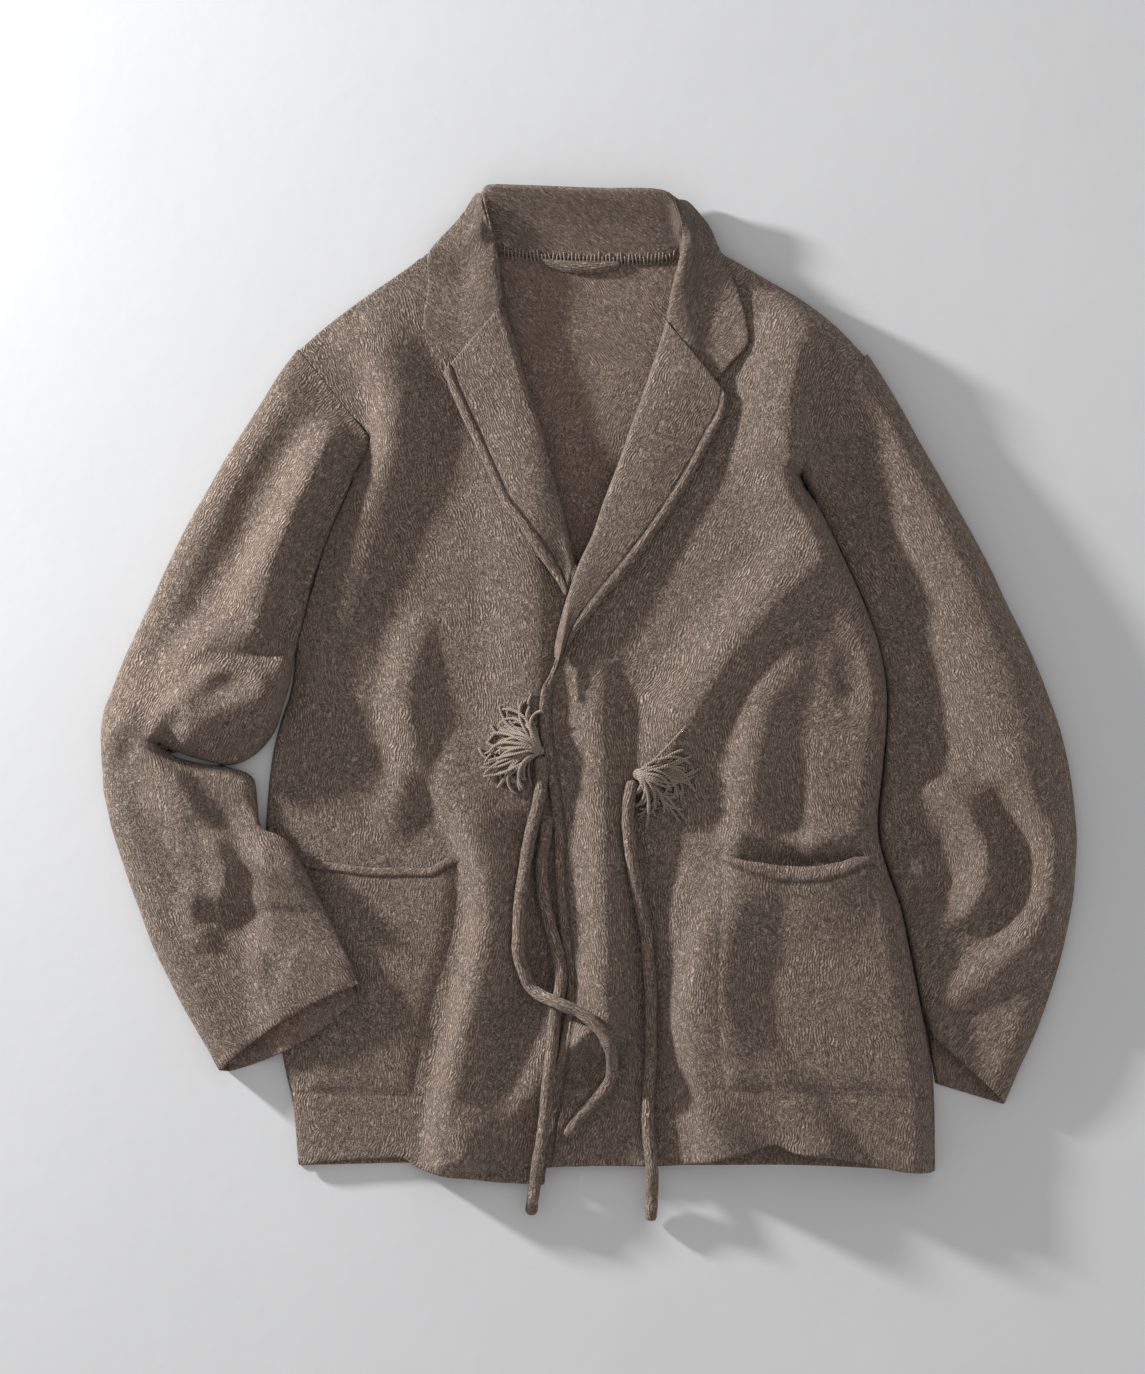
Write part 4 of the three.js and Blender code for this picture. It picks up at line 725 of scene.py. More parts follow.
lapels = {
    "right": {"height": rightTop, "loose": 3, "flat": (0.07, 0.26), "area": 0.0118,
              "top": [(-67, 295), (-75, 285.5), (-87, 271.5), (-99, 257.5), (-112, 243)],
              "bottom": [(-11, 95), (-20, 70)],
              "roll": [(-67, 295), (-60, 275), (-54, 253), (-46, 225), (-37, 197), (-29, 163), (-21, 136),
                       (-11, 95)],
              "rim": [(-112, 243), (-107, 229), (-93, 198), (-77, 165), (-66, 141), (-54, 125), (-38, 98),
                      (-20, 70)]},
    "left": {"height": leftTop, "loose": 4, "flat": (0.08, 0.33), "area": 0.0147,
             "top": [(60, 282), (69, 264), (77, 252), (85, 242), (95, 232), (108, 222)],
             "bottom": [(-27, 23), (-34, 0)],
             "roll": [(60, 282), (54, 262), (48, 244), (40, 220), (32, 198), (23, 172), (12, 144), (2, 115),
                      (-8, 94), (-17, 69), (-23, 46), (-27, 23)],
             "rim": [(108, 222), (104, 206), (96, 193), (80, 163), (62, 134), (40, 103), (16, 73), (1, 54),
                     (-15, 33), (-34, 0)]},
}


def lapelPiece(which):
    s = lapels[which]
    height = s["height"]
    down = np.linspace(0, 1, 150)
    x, y = panelPlan(s["top"], s["bottom"], s["roll"], s["rim"], np.array([0.0, 1.0]), down)
    roll, rim = np.stack([x[:, 0], y[:, 0]], axis=1), np.stack([x[:, 1], y[:, 1]], axis=1)
    width = np.linalg.norm(rim - roll, axis=1)
    outer, inner, seam = [], [], []
    fade = smooth(np.minimum(down, 1 - down) / 0.04)
    for away, up, thick in wrapDown:
        t = away / width
        for store, shift, drop in ((outer, 0, 0), (inner, thick, 0.15)):
            p = roll + (rim - roll) * np.clip(t + shift / width, 0, 1)[:, None]
            above = (up - drop) * fade + (1 - fade) * cloth["rest"]
            store.append(lifted(p[:, 0], p[:, 1], height, above))
        seam.append(width - away)
    turn = np.minimum(lapel["roll"], width * 0.3)
    edging = np.minimum(lapel["edging"], width * 0.2)
    for t in lapelShares:
        away = t * width
        fold = rounding(away, turn)
        ease = 1 - smooth((away - turn) / (width * 0.9))
        rise = s["loose"] * smooth(t) + lapel["rise"] * ease * fold
        base = cloth["rest"] + cloth["trim"] * (0.15 + 0.85 * fold) + rise
        bulge = edgingBulge(width - away, edging, lapel["bulge"])
        p = roll + (rim - roll) * t
        outer.append(lifted(p[:, 0], p[:, 1], height, base + bulge))
        q = roll + (rim - roll) * np.minimum(1, t + cloth["trim"] / width * (1 - fold))[:, None]
        inner.append(lifted(q[:, 0], q[:, 1], height, np.maximum(cloth["rest"], base - cloth["trim"])))
        seam.append(width - away)
    outer, inner = np.stack(outer, axis=1), np.stack(inner, axis=1)
    toRim = np.stack(seam, axis=1)
    piece = clothPiece(which + "_lapel_cloth", outer, inner, knitMap(outer, fromColumn=-1),
                       [wool, reverse], marks={"edging": toRim - edging[:, None]})
    restPiece(piece, which + "_lapel")
    return piece


lapelPiece("right")
lapelPiece("left")
print("stage: lapels made")

# Collar rows, mm: neck seam x, y, 1 where the seam lies on the back; roll x, y, height; lean (1 the fall
# on top, -1 the stand); middle of the fall x, y; its end x, y.
collarRows = [(-75.5, 299.5, 0, -67, 296.5, 4, 1, -100.5, 255.5, -128.5, 275.5),
    (-78, 310.5, 0, -68, 309, 5, 1, -100, 277.5, -127, 291.5),
    (-79, 323, 0, -69.5, 322, 6, 1, -98.5, 301, -124, 310.5),
    (-77, 332.5, 0, -71, 334.5, 8, 1, -97.5, 321.5, -125, 332.5),
    (-70, 337.5, 1, -74, 347, 15, 0.6, -97, 343, -117, 345),
    (-69.5, 337.5, 1, -77, 359, 19, 0.2, -92.5, 356, -104, 358.5),
    (-68, 337.5, 1, -80.5, 371.5, 21, -0.2, -88, 369, -94, 372),
    (-65.5, 337, 1, -82.5, 385, 22, -0.6, -84.5, 382, -86, 384.5),
    (-60, 336.5, 1, -78.5, 388, 22, -1, -72.5, 372, -66, 360),
    (-44.5, 335, 1, -60, 388, 22, -1, -49, 368, -44.5, 349.5),
    (-22.5, 332.5, 1, -28, 387, 22, -1, -22.5, 367.5, -21, 346.5),
    (8.5, 330.5, 1, 8.5, 385.5, 22, -1, 8.5, 366, 8.5, 345.5),
    (40, 330.5, 1, 40, 385.5, 23, -1, 36.5, 365, 35, 346.5),
    (57, 331.5, 1, 53.5, 384.5, 24, -0.9, 49, 366.5, 46, 352.5),
    (64.5, 333, 1, 63.5, 381, 25, -0.5, 68, 378.5, 72, 379),
    (67, 334.5, 1, 68.5, 369, 25, -0.1, 77, 369, 85.5, 367),
    (68.5, 335.5, 1, 72, 357, 24, 0.3, 83, 358.5, 93.5, 356),
    (70, 336, 1, 72.5, 346.5, 20, 0.7, 86, 345, 100, 340.5),
    (75.5, 332.5, 0, 71, 335.5, 12, 1, 87.5, 327.5, 105.5, 327.5),
    (75, 321.5, 0, 68, 323, 10, 1, 89, 309, 112.5, 310.5),
    (72.5, 309.5, 0, 64.5, 309.5, 9, 1, 90.5, 288, 118.5, 294),
    (68.5, 285.5, 0, 60, 285.5, 7, 1, 96.5, 238, 124, 264.5)]
collarLook = {"turn": 3.8, "along": 230, "between": 7, "ease": 14, "tip": 6.5, "backEdge": 3.0,
              "backMiddle": 7.5, "hollow": 3.0, "crown": 1.8}


def collarGrid():
    nx, ny, onBack, rx, ry, rz, lean, mx, my, ex, ey = np.array(collarRows, float).T

    def ground(x, y):
        return np.where(x < 0, rightTop(x, y), leftTop(x, y))

    def over(x, y, above):
        away, side = [np.where(x < 0, a, b) for a, b in zip(nearest(rightShoulder, x, y)[:2],
                                                            nearest(leftShoulder, x, y)[:2])]
        onBody = (side < 0) | (away > 90)
        below = np.maximum(np.where(onBody, ground(x, y), 0.4), np.where(onBody, 13, 14) - away * 0.3)
        return below + 1 + cloth["trim"] + above

    seamZ = np.where(onBack > 0, cloth["back"] + 0.6 + cloth["trim"], ground(nx, ny) + 1.6)
    seam = np.stack([nx, ny, seamZ], axis=1)
    roll = np.stack([rx, ry, np.where(onBack > 0, rz, seamZ + rz)], axis=1)
    hidden = lean < -0.7
    # the fall lies close to the lapel at its ends and stays high round the corners of the neck
    order = np.arange(len(nx))
    loose = 0.25 + 0.75 * np.clip(np.minimum(order, len(nx) - 1 - order) / 3, 0, 1)
    midHeight = np.maximum(over(mx, my, 3 * loose), 0.62 * rz * onBack)
    endHeight = np.maximum(over(ex, ey, 0.6), 0.3 * rz * onBack)
    mid = np.stack([mx, my, np.where(hidden, collarLook["backMiddle"], midHeight)], axis=1)
    end = np.stack([ex, ey, np.where(hidden, collarLook["backEdge"], endHeight)], axis=1)

    def towards(a, b):
        d = np.stack([a[:, 0] - b[:, 0], a[:, 1] - b[:, 1], np.zeros(len(a))], axis=1)
        return d / np.linalg.norm(d, axis=1, keepdims=True)

    turn, bend = collarLook["turn"], 1.2 * (1 - np.abs(lean))
    inside = roll + towards(seam, roll) * turn
    inside[:, 2] += -turn * lean - bend
    outside = roll + towards(mid, roll) * turn
    outside[:, 2] += turn * lean - bend
    roll[:, 2] += bend
    stand = (seam + inside) / 2
    stand[:, 2] -= np.where(onBack > 0, collarLook["hollow"], 0)
    crest = outside + (mid - outside) * 0.35
    crest[:, 2] += np.where(lean > 0, collarLook["crown"] * loose, 0.3)
    crease = roll + (inside - roll) * [0.42, 0.42, 0.72]
    shoulder = roll + (outside - roll) * [0.42, 0.42, 0.72]
    last = mid + (end - mid) * 0.55
    lines = [seam, stand, inside, crease, roll, shoulder, outside, crest, mid, last, end]
    along = np.linspace(0, 1, collarLook["along"])
    coarse = np.stack([curveThrough(line, byLength=False)(along) for line in lines], axis=1)
    for _ in range(collarLook["ease"]):
        coarse[1:-1] += 0.5 * ((coarse[:-2] + coarse[2:]) / 2 - coarse[1:-1])
    across = np.linspace(0, 1, 10 * collarLook["between"] + 1)
    return np.stack([curveThrough(row, byLength=False)(across) for row in coarse])


def roundedTip(grid):  # the corner between the first row and the last column, drawn in to an arc
    down = np.cumsum(np.linalg.norm(np.diff(grid, axis=0, prepend=grid[:1]), axis=2), axis=0)
    back = np.diff(grid, axis=1, append=grid[:, -1:])
    out = np.cumsum(np.linalg.norm(back, axis=2)[:, ::-1], axis=1)[:, ::-1]
    u = np.clip(1 - down / collarLook["tip"], 0, 1)[..., None]
    v = np.clip(1 - out / collarLook["tip"], 0, 1)[..., None]
    wayDown = np.gradient(grid, axis=0)
    wayOut = np.gradient(grid, axis=1)
    wayDown /= lengthOf(wayDown)
    wayOut /= lengthOf(wayOut)
    shiftDown = u * (1 - np.sqrt(1 - v * v / 2)) * collarLook["tip"]
    shiftOut = v * (1 - np.sqrt(1 - u * u / 2)) * collarLook["tip"]
    return grid + wayDown * shiftDown - wayOut * shiftOut


collarOuter = roundedTip(roundedTip(collarGrid())[::-1])[::-1]
collarInner = collarOuter + cloth["trim"] * gridNormals(collarOuter)
collarPiece = clothPiece("collar_cloth", collarOuter, collarInner, knitMap(collarOuter)[..., ::-1],
                         [collarWool, collarWool])
restPiece(collarPiece, "collar")
print("stage: collar made")

# Sleeves: laid tubes. Ring rows, mm: outer x, y, inner x, y.
rightRings = [(-228.5, 259, -174, 190.5), (-241, 242.5, -180, 177), (-255, 220, -187, 157.5),
    (-270, 196.5, -195.5, 135.5), (-284, 174.5, -204.5, 114), (-298, 150, -213, 89),
    (-311, 128, -219.5, 65.5), (-325.5, 99, -226, 38), (-341, 65.5, -230, 18.5), (-352, 42, -233, 0),
    (-360.5, 24, -238, -16.5), (-366.5, 9.5, -245.5, -38), (-372, -4.5, -259.5, -54.5),
    (-375, -12.5, -277, -62.8), (-377.5, -18.5, -301, -59.3), (-379, -25, -320, -53.4),
    (-380.5, -36, -334.5, -47), (-380.5, -48.5, -323, -56), (-380, -59.5, -301, -62),
    (-379, -71, -277, -65.6), (-378.5, -82.5, -262, -73), (-376, -95, -258, -95),
    (-372, -112.5, -254.5, -111), (-365, -135, -235.5, -120), (-357, -158.5, -223, -139),
    (-348.5, -181.5, -212, -160.5), (-340, -204.5, -201, -182.5), (-328.5, -228, -190.5, -204.5),
    (-314.5, -255, -183.5, -217.5)]
leftRings = [(218.5, 255, 165.5, 163.5), (231, 235.5, 171, 151.5), (245, 212, 180, 135.5),
    (258, 188, 188, 119.5), (272, 164, 197.5, 101.5), (287, 137.5, 206, 83.5), (301, 112.5, 214.5, 65.5),
    (314.5, 86.5, 221.5, 44.5), (326, 61.5, 228, 22.5), (337.5, 39, 232.5, 3), (348.5, 15, 234.5, -15.5),
    (358, -9.5, 234, -34.5), (366, -32, 232.5, -53), (372, -55.5, 231, -73.5), (376, -77, 228.5, -93),
    (378.5, -98.5, 227.5, -111), (380, -121.5, 228.5, -126.5), (379, -143.5, 234.5, -143.5),
    (377.5, -164.5, 240, -159), (373, -189.5, 246.5, -178), (366, -219, 252, -199.5),
    (356.5, -249, 256.5, -221.5), (346.5, -275.5, 260.5, -242), (337.5, -295, 264, -257.5)]
sleeves = {
    "right": {"rings": rightRings, "cuff": (-288, -300, -179, -232), "under": (-285, -302, -177, -239),
              "armhole": rightArmhole, "shoulder": rightShoulder[::-1], "bow": (7, -10),
              "folds": rightSleeveFolds + rightSleeveCreases, "side": rightSideFine, "touch": 20,
              "bulk": 17, "bulge": 0},
    "left": {"rings": leftRings, "cuff": (324, -324, 266, -271), "under": (325, -327, 269, -310),
             "armhole": leftArmhole, "shoulder": leftShoulder, "bow": (0, 0),
             "folds": leftSleeveFolds, "side": leftSideFine, "touch": -275, "bulk": 14, "bulge": 7},
    "close": 1.7, "apart": 1.2, "least": 8.5, "outerRound": 20, "innerRound": 11, "tuck": 2.6,
    "overBody": 15, "joins": 38,
}


def sleevePiece(which):
    s = sleeves[which]
    left = which == "left"
    rings = list(s["rings"]) + [s["cuff"]]

    def own(x, y):
        joined = 1 - smooth(nearest(s["armhole"], x, y)[0] / sleeves["joins"])
        bulk = s["bulk"] + s["bulge"] * smooth((nearest(leftSide, x, y)[0] - 20) / 60)
        high = np.maximum(sleeves["least"], bulk + foldsAt(s["folds"], x, y) + ripple(y, x))
        return high + (bodyHeight(x, y) - high) * joined

    heightAt = reading(softened(own(rasterX, rasterY)))

    def floorAt(x, y):  # the lower right sleeve lies over the side of the body and its pocket
        if left:
            return np.zeros_like(x)
        away, side, _, _ = nearest(rightSide, x, y)
        return sleeves["overBody"] * smooth((away * side + 27) / 31) * smooth((-88 - y) / 18)

    count = len(rings)
    along = np.linspace(0, count - 1, (count - 1) * 7 + 1)
    shares = along / (count - 1)
    half = [curveThrough([row[k:k + 2] for row in rings], byLength=False)(shares) for k in (0, 2)]
    tops = np.concatenate([half[0][:, :2], half[1][:, :2]], axis=1)
    seamWay = (tops[0] - tops[3])[:2] / np.linalg.norm((tops[0] - tops[3])[:2])
    close = np.concatenate([seamWay, seamWay]) * sleeves["close"]
    tops += np.clip(1 - along / 0.6, 0, 1)[:, None] * close
    # above the touch line the inner side lies against the body's edge
    side = np.array(s["side"])
    for row in tops:
        ways = side - row[2:]
        lengths = np.linalg.norm(ways, axis=1)
        nearestWay = ways[np.argmin(lengths)]
        gap = np.min(lengths)
        if 0 < gap < 14:
            row[2:] += nearestWay / gap * (gap - sleeves["apart"]) * smooth((row[3] - s["touch"]) / 30)
    weight = np.clip(1 - (count - 1 - along) / 2.5, 0, 1)
    bases = tops + (np.array(s["under"]) - np.array(s["cuff"])) * weight[:, None]
    last = smooth(along - (count - 2))[:, None]
    span = np.hypot(tops[:, 2] - tops[:, 0], tops[:, 3] - tops[:, 1])[:, None]

    def place(rows, t, bow):
        b = bow * last * 4 * t * (1 - t) / span
        ax, ay, bx, by = [rows[:, k:k + 1] for k in range(4)]
        return ax + (bx - ax) * t + b * (ay - by), ay + (by - ay) * t + b * (bx - ax)

    topShares = 0.5 - 0.5 * np.cos(math.pi * np.linspace(0, 1, 64))
    topShares = 0.6 * topShares + 0.4 * np.linspace(0, 1, 64)
    baseShares = np.concatenate([[0.985, 0.965], np.linspace(0.94, 0.06, 26), [0.035, 0.015]])
    x, y = place(tops, topShares[None], s["bow"][0])
    low = floorAt(x, y)
    outerLine = s["shoulder"][:-1] + [tuple(p) for p in tops[::3, :2].tolist()]
    innerLine = [tuple(p) for p in tops[::3, 2:].tolist()]
    away = nearest(outerLine, x, y)[0]
    toInner = nearest(innerLine, x, y)[0]
    edge = rounding(away, np.minimum(sleeves["outerRound"], span * 0.3))
    edge = edge * rounding(toInner, np.minimum(sleeves["innerRound"], span * 0.2))
    full = low + np.maximum(sleeves["least"], heightAt(x, y) - low * 0.35)
    top = np.stack([x, y, low + cloth["edge"] + (full - low - cloth["edge"]) * edge], axis=-1)
    bx, by = place(bases, baseShares[None], s["bow"][1])
    lowBase = floorAt(bx, by)
    tuck = sleeves["tuck"] * (1 - rounding(np.minimum(baseShares, 1 - baseShares) * span, 6.0))
    base = np.stack([bx, by, lowBase + tuck], axis=-1)
    outer = np.concatenate([top, base], axis=1)
    flip = 1 if left else -1
    inner = outer - flip * cloth["sleeve"] * gridNormals(outer, closed=True)
    inner[..., 2] = np.maximum(inner[..., 2], 0.2)  # where the wall folds sharply it stays off the floor
    border = np.linalg.norm(outer - outer[-1:], axis=2)
    piece = clothPiece(which + "_sleeve_cloth", outer, inner, knitMap(outer, closed=True),
                       [wool, reverse], closed=True, marks={"border": border})
    restPiece(piece, which + "_sleeve")
    return piece


rightSleevePiece = sleevePiece("right")
leftSleevePiece = sleevePiece("left")
print("stage: sleeves made")

# Patch pockets: the front's own places moved out, thin where they are sewn, with a gaping edged mouth.
rightMouth = [(-217, -138), (-194, -141), (-171, -144), (-147, -144), (-124, -144), (-112, -137),
    (-101, -133)]
leftMouth = [(103, -130), (114, -136), (126, -142), (145, -147), (165, -148.5), (182, -147.5), (197, -143),
    (211, -136), (221, -134)]
pockets = {
    "right": {"mouth": rightMouth, "height": rightTop, "gape": 0.6, "reach": 60,
              "bottom": [(-222, -319), (-179, -320), (-136, -321)],
              "left": [(-217, -138), (-225, -168), (-226, -207), (-226, -254), (-224, -293), (-222, -319)],
              "right": [(-101, -133), (-101, -161), (-105, -192), (-112, -219), (-120, -246), (-128, -274),
                        (-133, -301), (-136, -321)]},
    "left": {"mouth": leftMouth, "height": leftTop, "gape": 9, "reach": 75,
             "bottom": [(104, -317), (165, -316), (211, -318), (256, -321)],
             "left": [(103, -130), (101, -168), (99, -207), (98, -246), (100, -278), (104, -317)],
             "right": [(221, -134), (229, -153), (236, -178), (243, -207), (248, -239), (252, -270),
                       (255, -297), (256, -321)]},
    "edging": 6.4, "edgingWide": 6.0, "bulge": 1.3, "sewnDown": 0.4, "standOff": 0.9, "wall": 1.9,
}


def pocketPiece(which):
    s = pockets[which]
    across = endToEnd(np.linspace(0, 0.06, 9), np.linspace(0.06, 0.94, 60), np.linspace(0.94, 1, 9))
    down = endToEnd(np.linspace(0, 0.05, 14), np.linspace(0.05, 0.96, 70), np.linspace(0.96, 1, 8))
    x, y = panelPlan(s["mouth"], s["bottom"], s["left"], s["right"], across, down)
    toMouth = nearest(s["mouth"], x, y)[0]
    toSide = np.minimum(nearest(s["left"], x, y)[0], nearest(s["right"], x, y)[0])
    sewn = np.minimum(toSide, nearest(s["bottom"], x, y)[0])
    u = np.clip((x - s["mouth"][0][0]) / (s["mouth"][-1][0] - s["mouth"][0][0]), 0, 1)
    gape = s["gape"] * np.sin(math.pi * u) ** 0.8 * (1 - smooth(toMouth / s["reach"]))
    low = pockets["standOff"] * smooth(sewn / 7) - pockets["sewnDown"] + gape
    thick = 0.25 + pockets["wall"] * smooth(sewn / 15)
    bulge = edgingBulge(toMouth, pockets["edgingWide"], pockets["bulge"]) * rounding(toSide, 5.0)
    outer = lifted(x, y, s["height"], low + thick + bulge)
    inner = lifted(x, y, s["height"], low)
    piece = clothPiece(which + "_pocket_cloth", outer, inner, knitMap(outer), [wool, reverse],
                       marks={"edging": toMouth - pockets["edging"]})
    restPiece(piece, which + "_pocket")
    return piece


rightPocketPiece = pocketPiece("right")
leftPocketPiece = pocketPiece("left")
print("stage: pockets made")


# A closed tube along points, with rounded ends; radius may change along it.
def tubeParts(path, radius, sides, knitStart=0.0):
    path = np.asarray(path, float)
    count = len(path)
    tangent = np.gradient(path, axis=0)
    tangent /= np.linalg.norm(tangent, axis=1, keepdims=True)
    side = np.cross(tangent[0], [0, 0, 1.0])
    side = side / np.linalg.norm(side) if np.linalg.norm(side) > 1e-6 else np.array([1.0, 0, 0])
    frames = []
    for t in tangent:
        side = side - t * np.dot(side, t)
        side /= np.linalg.norm(side)
        frames.append((side, np.cross(t, side)))
    angles = np.linspace(0, 2 * math.pi, sides, endpoint=False)
    radius = np.broadcast_to(radius, (count,))
    round_ = [np.cos(angles)[:, None] * a + np.sin(angles)[:, None] * b for a, b in frames]
    rings = np.stack([path[i] + radius[i] * round_[i] for i in range(count)])
    points = np.vstack([rings.reshape(-1, 3), path[:1] - tangent[:1] * radius[0] * 0.3,
                        path[-1:] + tangent[-1:] * radius[-1] * 0.3])
    r, c = [v.ravel() for v in np.meshgrid(np.arange(count - 1), np.arange(sides), indexing="ij")]
    next_ = (c + 1) % sides
    here, after = r * sides, (r + 1) * sides
    faces = np.stack([here + c, here + next_, after + next_, after + c], axis=1)
    along = np.concatenate([[0], np.cumsum(np.linalg.norm(np.diff(path, axis=0), axis=1))]) + knitStart
    turn = 2 * math.pi * np.max(radius) / sides
    cornersAt = ((c, r), (c + 1, r), (c + 1, r + 1), (c, r + 1))
    maps = np.stack([np.stack([u * turn, along[v]], 1) for u, v in cornersAt], axis=1)
    j = np.arange(sides)
    for tip, first in ((len(points) - 2, 0), (len(points) - 1, (count - 1) * sides)):
        pair = (first + (j + 1) % sides, first + j)
        pair = pair if first == 0 else pair[::-1]
        cap = np.stack([pair[0], pair[1], np.full(sides, tip), np.full(sides, tip)], axis=1)
        faces = np.vstack([faces, cap])
        capMap = np.zeros((sides, 4, 2))
        capMap[..., 0] = (j * turn)[:, None]
        capMap[..., 1] = along[0] if first == 0 else along[-1]
        maps = np.vstack([maps, capMap])
    return points, faces, maps


def tubesPiece(name, tubes, look):
    points, faces, maps = [np.vstack(part) for part in zip(*tubes)]
    counts = [len(tube[0]) for tube in tubes]
    starts = np.repeat(np.cumsum([0] + counts[:-1]), [len(tube[1]) for tube in tubes])
    return makeMesh(name, points, faces + starts[:, None], maps, [look])


# What lies on the fronts reads their own faces from above.
def treeOf(piece):
    mesh = piece.data
    return BVHTree.FromPolygons([v.co for v in mesh.vertices], [p.vertices for p in mesh.polygons])


frontTrees = [treeOf(rightPiece), treeOf(leftPiece)]


def clothBelow(x, y):
    start = Vector(((x + moveBy[0]) / 1000, (y + moveBy[1]) / 1000, 0.2))
    hits = [tree.ray_cast(start, Vector((0, 0, -1)))[0] for tree in frontTrees]
    return max([hit.z * 1000 for hit in hits if hit is not None], default=0.0)


# Ties: round knitted cords. Route rows, mm: x, y, height of the middle over the cloth below.
rightTieRoute = [(-38, -57, 0.5), (-37, -75, 0.5), (-39, -90, 0.5), (-44, -110, 0), (-48, -129, 0),
    (-51, -149, 0), (-54, -172, 0), (-55, -192, 0), (-55, -209, 0), (-51, -223, 0), (-46, -235, 2),
    (-37, -242, 6), (-27, -246, 11), (-18, -250, 8), (-8, -254, 3), (2, -261, 0), (10, -270, 0),
    (16, -282, 0), (18, -295, 0), (16, -309, 0), (9, -319, 0), (-1, -330, 0), (-10, -340, 0.5),
    (-17, -351, 0.5)]
underTieRoute = [(-33, -108, 0), (-34, -119, 0), (-36, -131, 0), (-37, -147, 0.5), (-35, -167, 0.5),
    (-31, -186, 0.5), (-26, -203, 0), (-23, -217, 0), (-22, -231, 0), (-24, -246, 0), (-27, -262, 0),
    (-29, -285, 0), (-32, -309, 0), (-34, -332, 0), (-37, -356, 1.5), (-40, -373, 2.5), (-42, -388, 2),
    (-44, -401, 5), (-45, -411, 1)]
leftTieRoute = [(34, -76, 0), (31, -90, 0), (30, -108, 0), (32, -129, 0), (36, -153, 0), (40, -172, 0),
    (44, -192, 0), (46, -215, 0), (48, -239, 0), (48, -266, 0), (48, -293, 0), (46, -323, 0),
    (46, -348, 0), (48, -370, 1), (49, -381, 2), (49, -396, 6), (48, -417, 1)]
tie = {"diameter": 9.6, "sides": 16, "step": 2.0, "clear": 0.5}


def clearOf(x, y, radius):
    middle = 0.0
    for share in (0, 0.5, 0.85, 1.2):
        for turn in range(8):
            angle = turn * math.pi / 4
            below = clothBelow(x + radius * share * math.cos(angle), y + radius * share * math.sin(angle))
            middle = max(middle, below + radius * math.sqrt(max(0.04, 1 - share * share)))
    return middle + tie["clear"]


def tiePiece(name, node, route):
    radius = tie["diameter"] / 2
    plan = curveThrough([row[:2] for row in route], byLength=False)
    last = len(route) - 1
    rows = []
    for i, (x, y, above) in enumerate(route):
        rests = []
        for d in (-0.5, -0.25, 0, 0.25, 0.5):
            p = plan(np.array([min(1, max(0, (i + d) / last))]))[0]
            rests.append(clearOf(p[0], p[1], radius))
        rows.append((x, y, max([radius + 1] + rests) + above))
    curve = curveThrough(rows)
    dense = curve(np.linspace(0, 1, 400))
    total = sum(math.dist(a, b) for a, b in zip(dense, dense[1:]))
    shares = np.linspace(0, 1, int(total / tie["step"]))
    path = curve(shares)
    along = shares * total
    uneven = 1 + 0.035 * np.sin(along / 5.1) * np.sin(along / 13.7 + 1) + 0.02 * np.sin(along / 2.3)
    ends = np.minimum(along, total - along)
    size = radius * uneven * (0.6 + 0.4 * rounding(ends + 0.6, 2.6))
    piece = tubesPiece(name, [tubeParts(path, size, tie["sides"])], cordWool)
    restPiece(piece, node)
    print("tie", name, round(total, 1))
    return piece


# Tassels: strands of yarn that bend out of the top of a tie and over each other. Angles in radians.
tassels = {
    "right": {"at": (-39, -52), "heading": -3.5, "droop": 0.9, "spread": 2.1, "count": 84, "seed": 3},
    "left": {"at": (38, -70), "heading": -0.15, "droop": -0.9, "spread": 1.9, "count": 76, "seed": 8},
    "radius": 1.12, "high": 9, "shortest": 27, "longest": 53, "curl": 1.3, "hook": 3.6, "width": 3.4,
}


def tasselPiece(which):
    s = tassels[which]
    rng = np.random.default_rng(s["seed"])
    x0, y0 = s["at"]
    ground = clothBelow(x0, y0)
    tubes = []
    for i in range(s["count"]):
        layer = i % 5
        t = rng.uniform(0, 1)
        angle = s["heading"] + s["spread"] * (t - 0.5)
        long = rng.uniform(tassels["shortest"], tassels["longest"]) - 2 * layer
        bend = s["droop"] + rng.uniform(-tassels["curl"], tassels["curl"])
        hook = rng.uniform(-tassels["hook"], tassels["hook"])
        start = rng.uniform(-tassels["width"], tassels["width"])
        points = []
        x, y = x0 - start * math.sin(s["heading"]), y0 + start * math.cos(s["heading"])
        for q in np.linspace(0, 1, 10):
            rest = clothBelow(x, y) + 1.3 + 1.6 * layer * (1 - 0.5 * q)
            hump = tassels["high"] * (0.25 + 0.16 * layer) * math.sin(math.pi * min(1, 0.12 + q * 1.1))
            points.append((x, y, max(rest + hump, clothBelow(x, y) + 1.2)))
            way = angle + bend * q + hook * max(0, q - 0.5)
            x += long / 9 * math.cos(way)
            y += long / 9 * math.sin(way)
        path = curveThrough(points)(np.linspace(0, 1, 22))
        size = tassels["radius"] * (1 - 0.3 * smooth((np.linspace(0, 1, 22) - 0.93) / 0.07))
        tubes.append(tubeParts(path, size * rng.uniform(0.88, 1.12), 7, rng.uniform(0, 40)))
    core = [(x0 - 1.5, y0, ground + 2), (x0, y0, ground + 4), (x0 + 0.4, y0, ground + 6.5),
            (x0, y0, ground + 8)]
    tubes.append(tubeParts(core, np.array([3.0, 4.4, 3.8, 1.6]), 12))
    piece = tubesPiece("tassel_" + which + "_yarn", tubes, yarnLook)
    restPiece(piece, "tassel_" + which)
    return piece


rightTassel = tasselPiece("right")
leftTassel = tasselPiece("left")
tiePiece("tie_right_cord", "tie_right", rightTieRoute)
tiePiece("tie_right_under_cord", "tie_right_under", underTieRoute)
tiePiece("tie_left_cord", "tie_left", leftTieRoute)
print("stage: ties and tassels made")

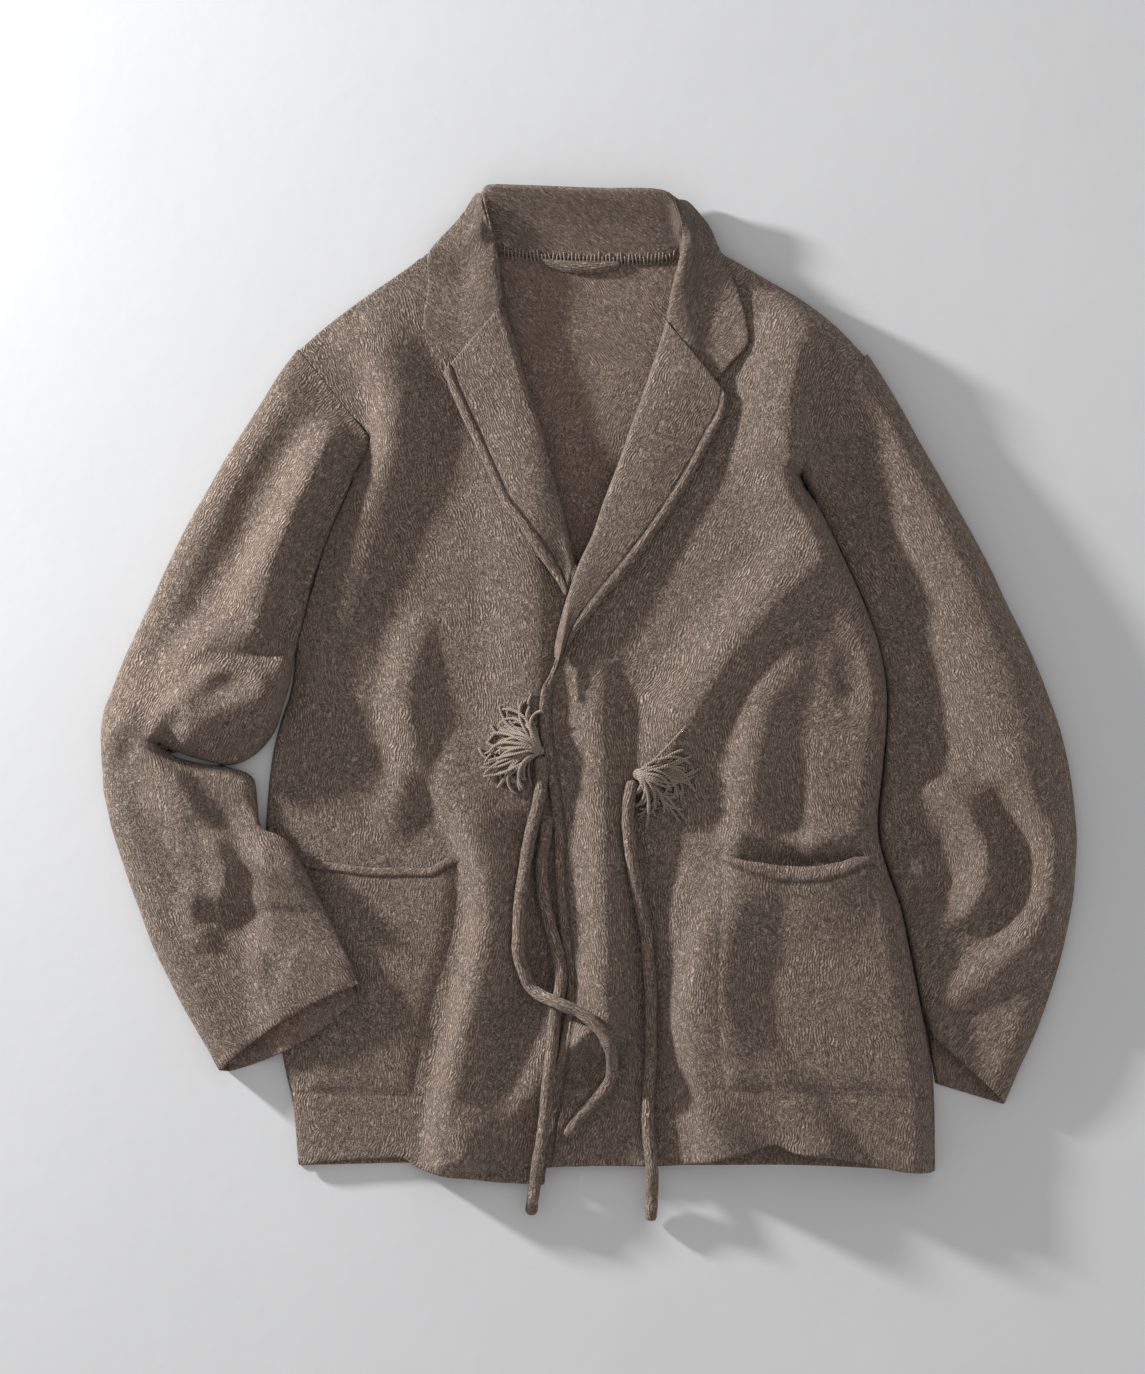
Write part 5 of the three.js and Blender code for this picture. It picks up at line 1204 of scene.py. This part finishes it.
# Hanger loop: a narrow knitted band over the neck seam.
loop = {"high": 4.6, "arch": 1.6, "round": 2.6, "wall": 1.4}
loopTop = [(-36, 333), (-15, 330), (5, 330), (24, 331)]
loopBottom = [(-32, 325), (-15, 321), (5, 320.5), (20, 322.5)]
loopAcross, loopDown = np.linspace(0, 1, 60), np.linspace(0, 1, 12)
loopX, loopY = panelPlan(loopTop, loopBottom, [loopTop[0], loopBottom[0]], [loopTop[-1], loopBottom[-1]],
                         loopAcross, loopDown)
loopU, loopV = np.meshgrid(loopAcross, loopDown)
loopZ = loop["high"] + loop["arch"] * np.sin(math.pi * loopU)
loopOuter = np.stack([loopX, loopY, loopZ + loop["round"] * np.sin(math.pi * loopV)], axis=-1)
loopInner = np.stack([loopX, loopY, loopZ - loop["wall"]], axis=-1)
loopPiece = clothPiece("hanger_loop_band", loopOuter, loopInner, knitMap(loopOuter)[..., ::-1],
                       [cordWool, cordWool])
restPiece(loopPiece, "hanger_loop")
print("stage: hanger loop made")

# Overcast stitches along the back neck seam.
stitchLine = curveThrough([(-66, 336), (-52, 333.5), (-23, 330.5), (24, 329.5), (56, 331), (66, 333)])
stitch = {"count": 46, "radius": 0.62, "shortest": 5.5, "longest": 9.0, "tilt": 0.8, "seed": 5}
stitchTubes = []
stitchRng = np.random.default_rng(stitch["seed"])
for share in np.linspace(0, 1, stitch["count"]):
    x, y, _ = stitchLine(np.array([share]))[0]
    y += stitchRng.uniform(-0.4, 0.4)
    long = stitchRng.uniform(stitch["shortest"], stitch["longest"])
    tilt = stitchRng.uniform(-stitch["tilt"], stitch["tilt"])
    rows = [(x - tilt, y - 3.0, 2.9), (x - tilt * 0.5, y - 1.0, 4.8), (x, y + 1.5, 6.6),
            (x + tilt, y + long - 2.4, 6.9)]
    stitchTubes.append(tubeParts(curveThrough(rows)(np.linspace(0, 1, 9)), stitch["radius"], 6))
neckStitches = tubesPiece("neck_stitches", stitchTubes, yarnLook)
restPiece(neckStitches, None)
print("stage: stitches made")

print("stage: finished")
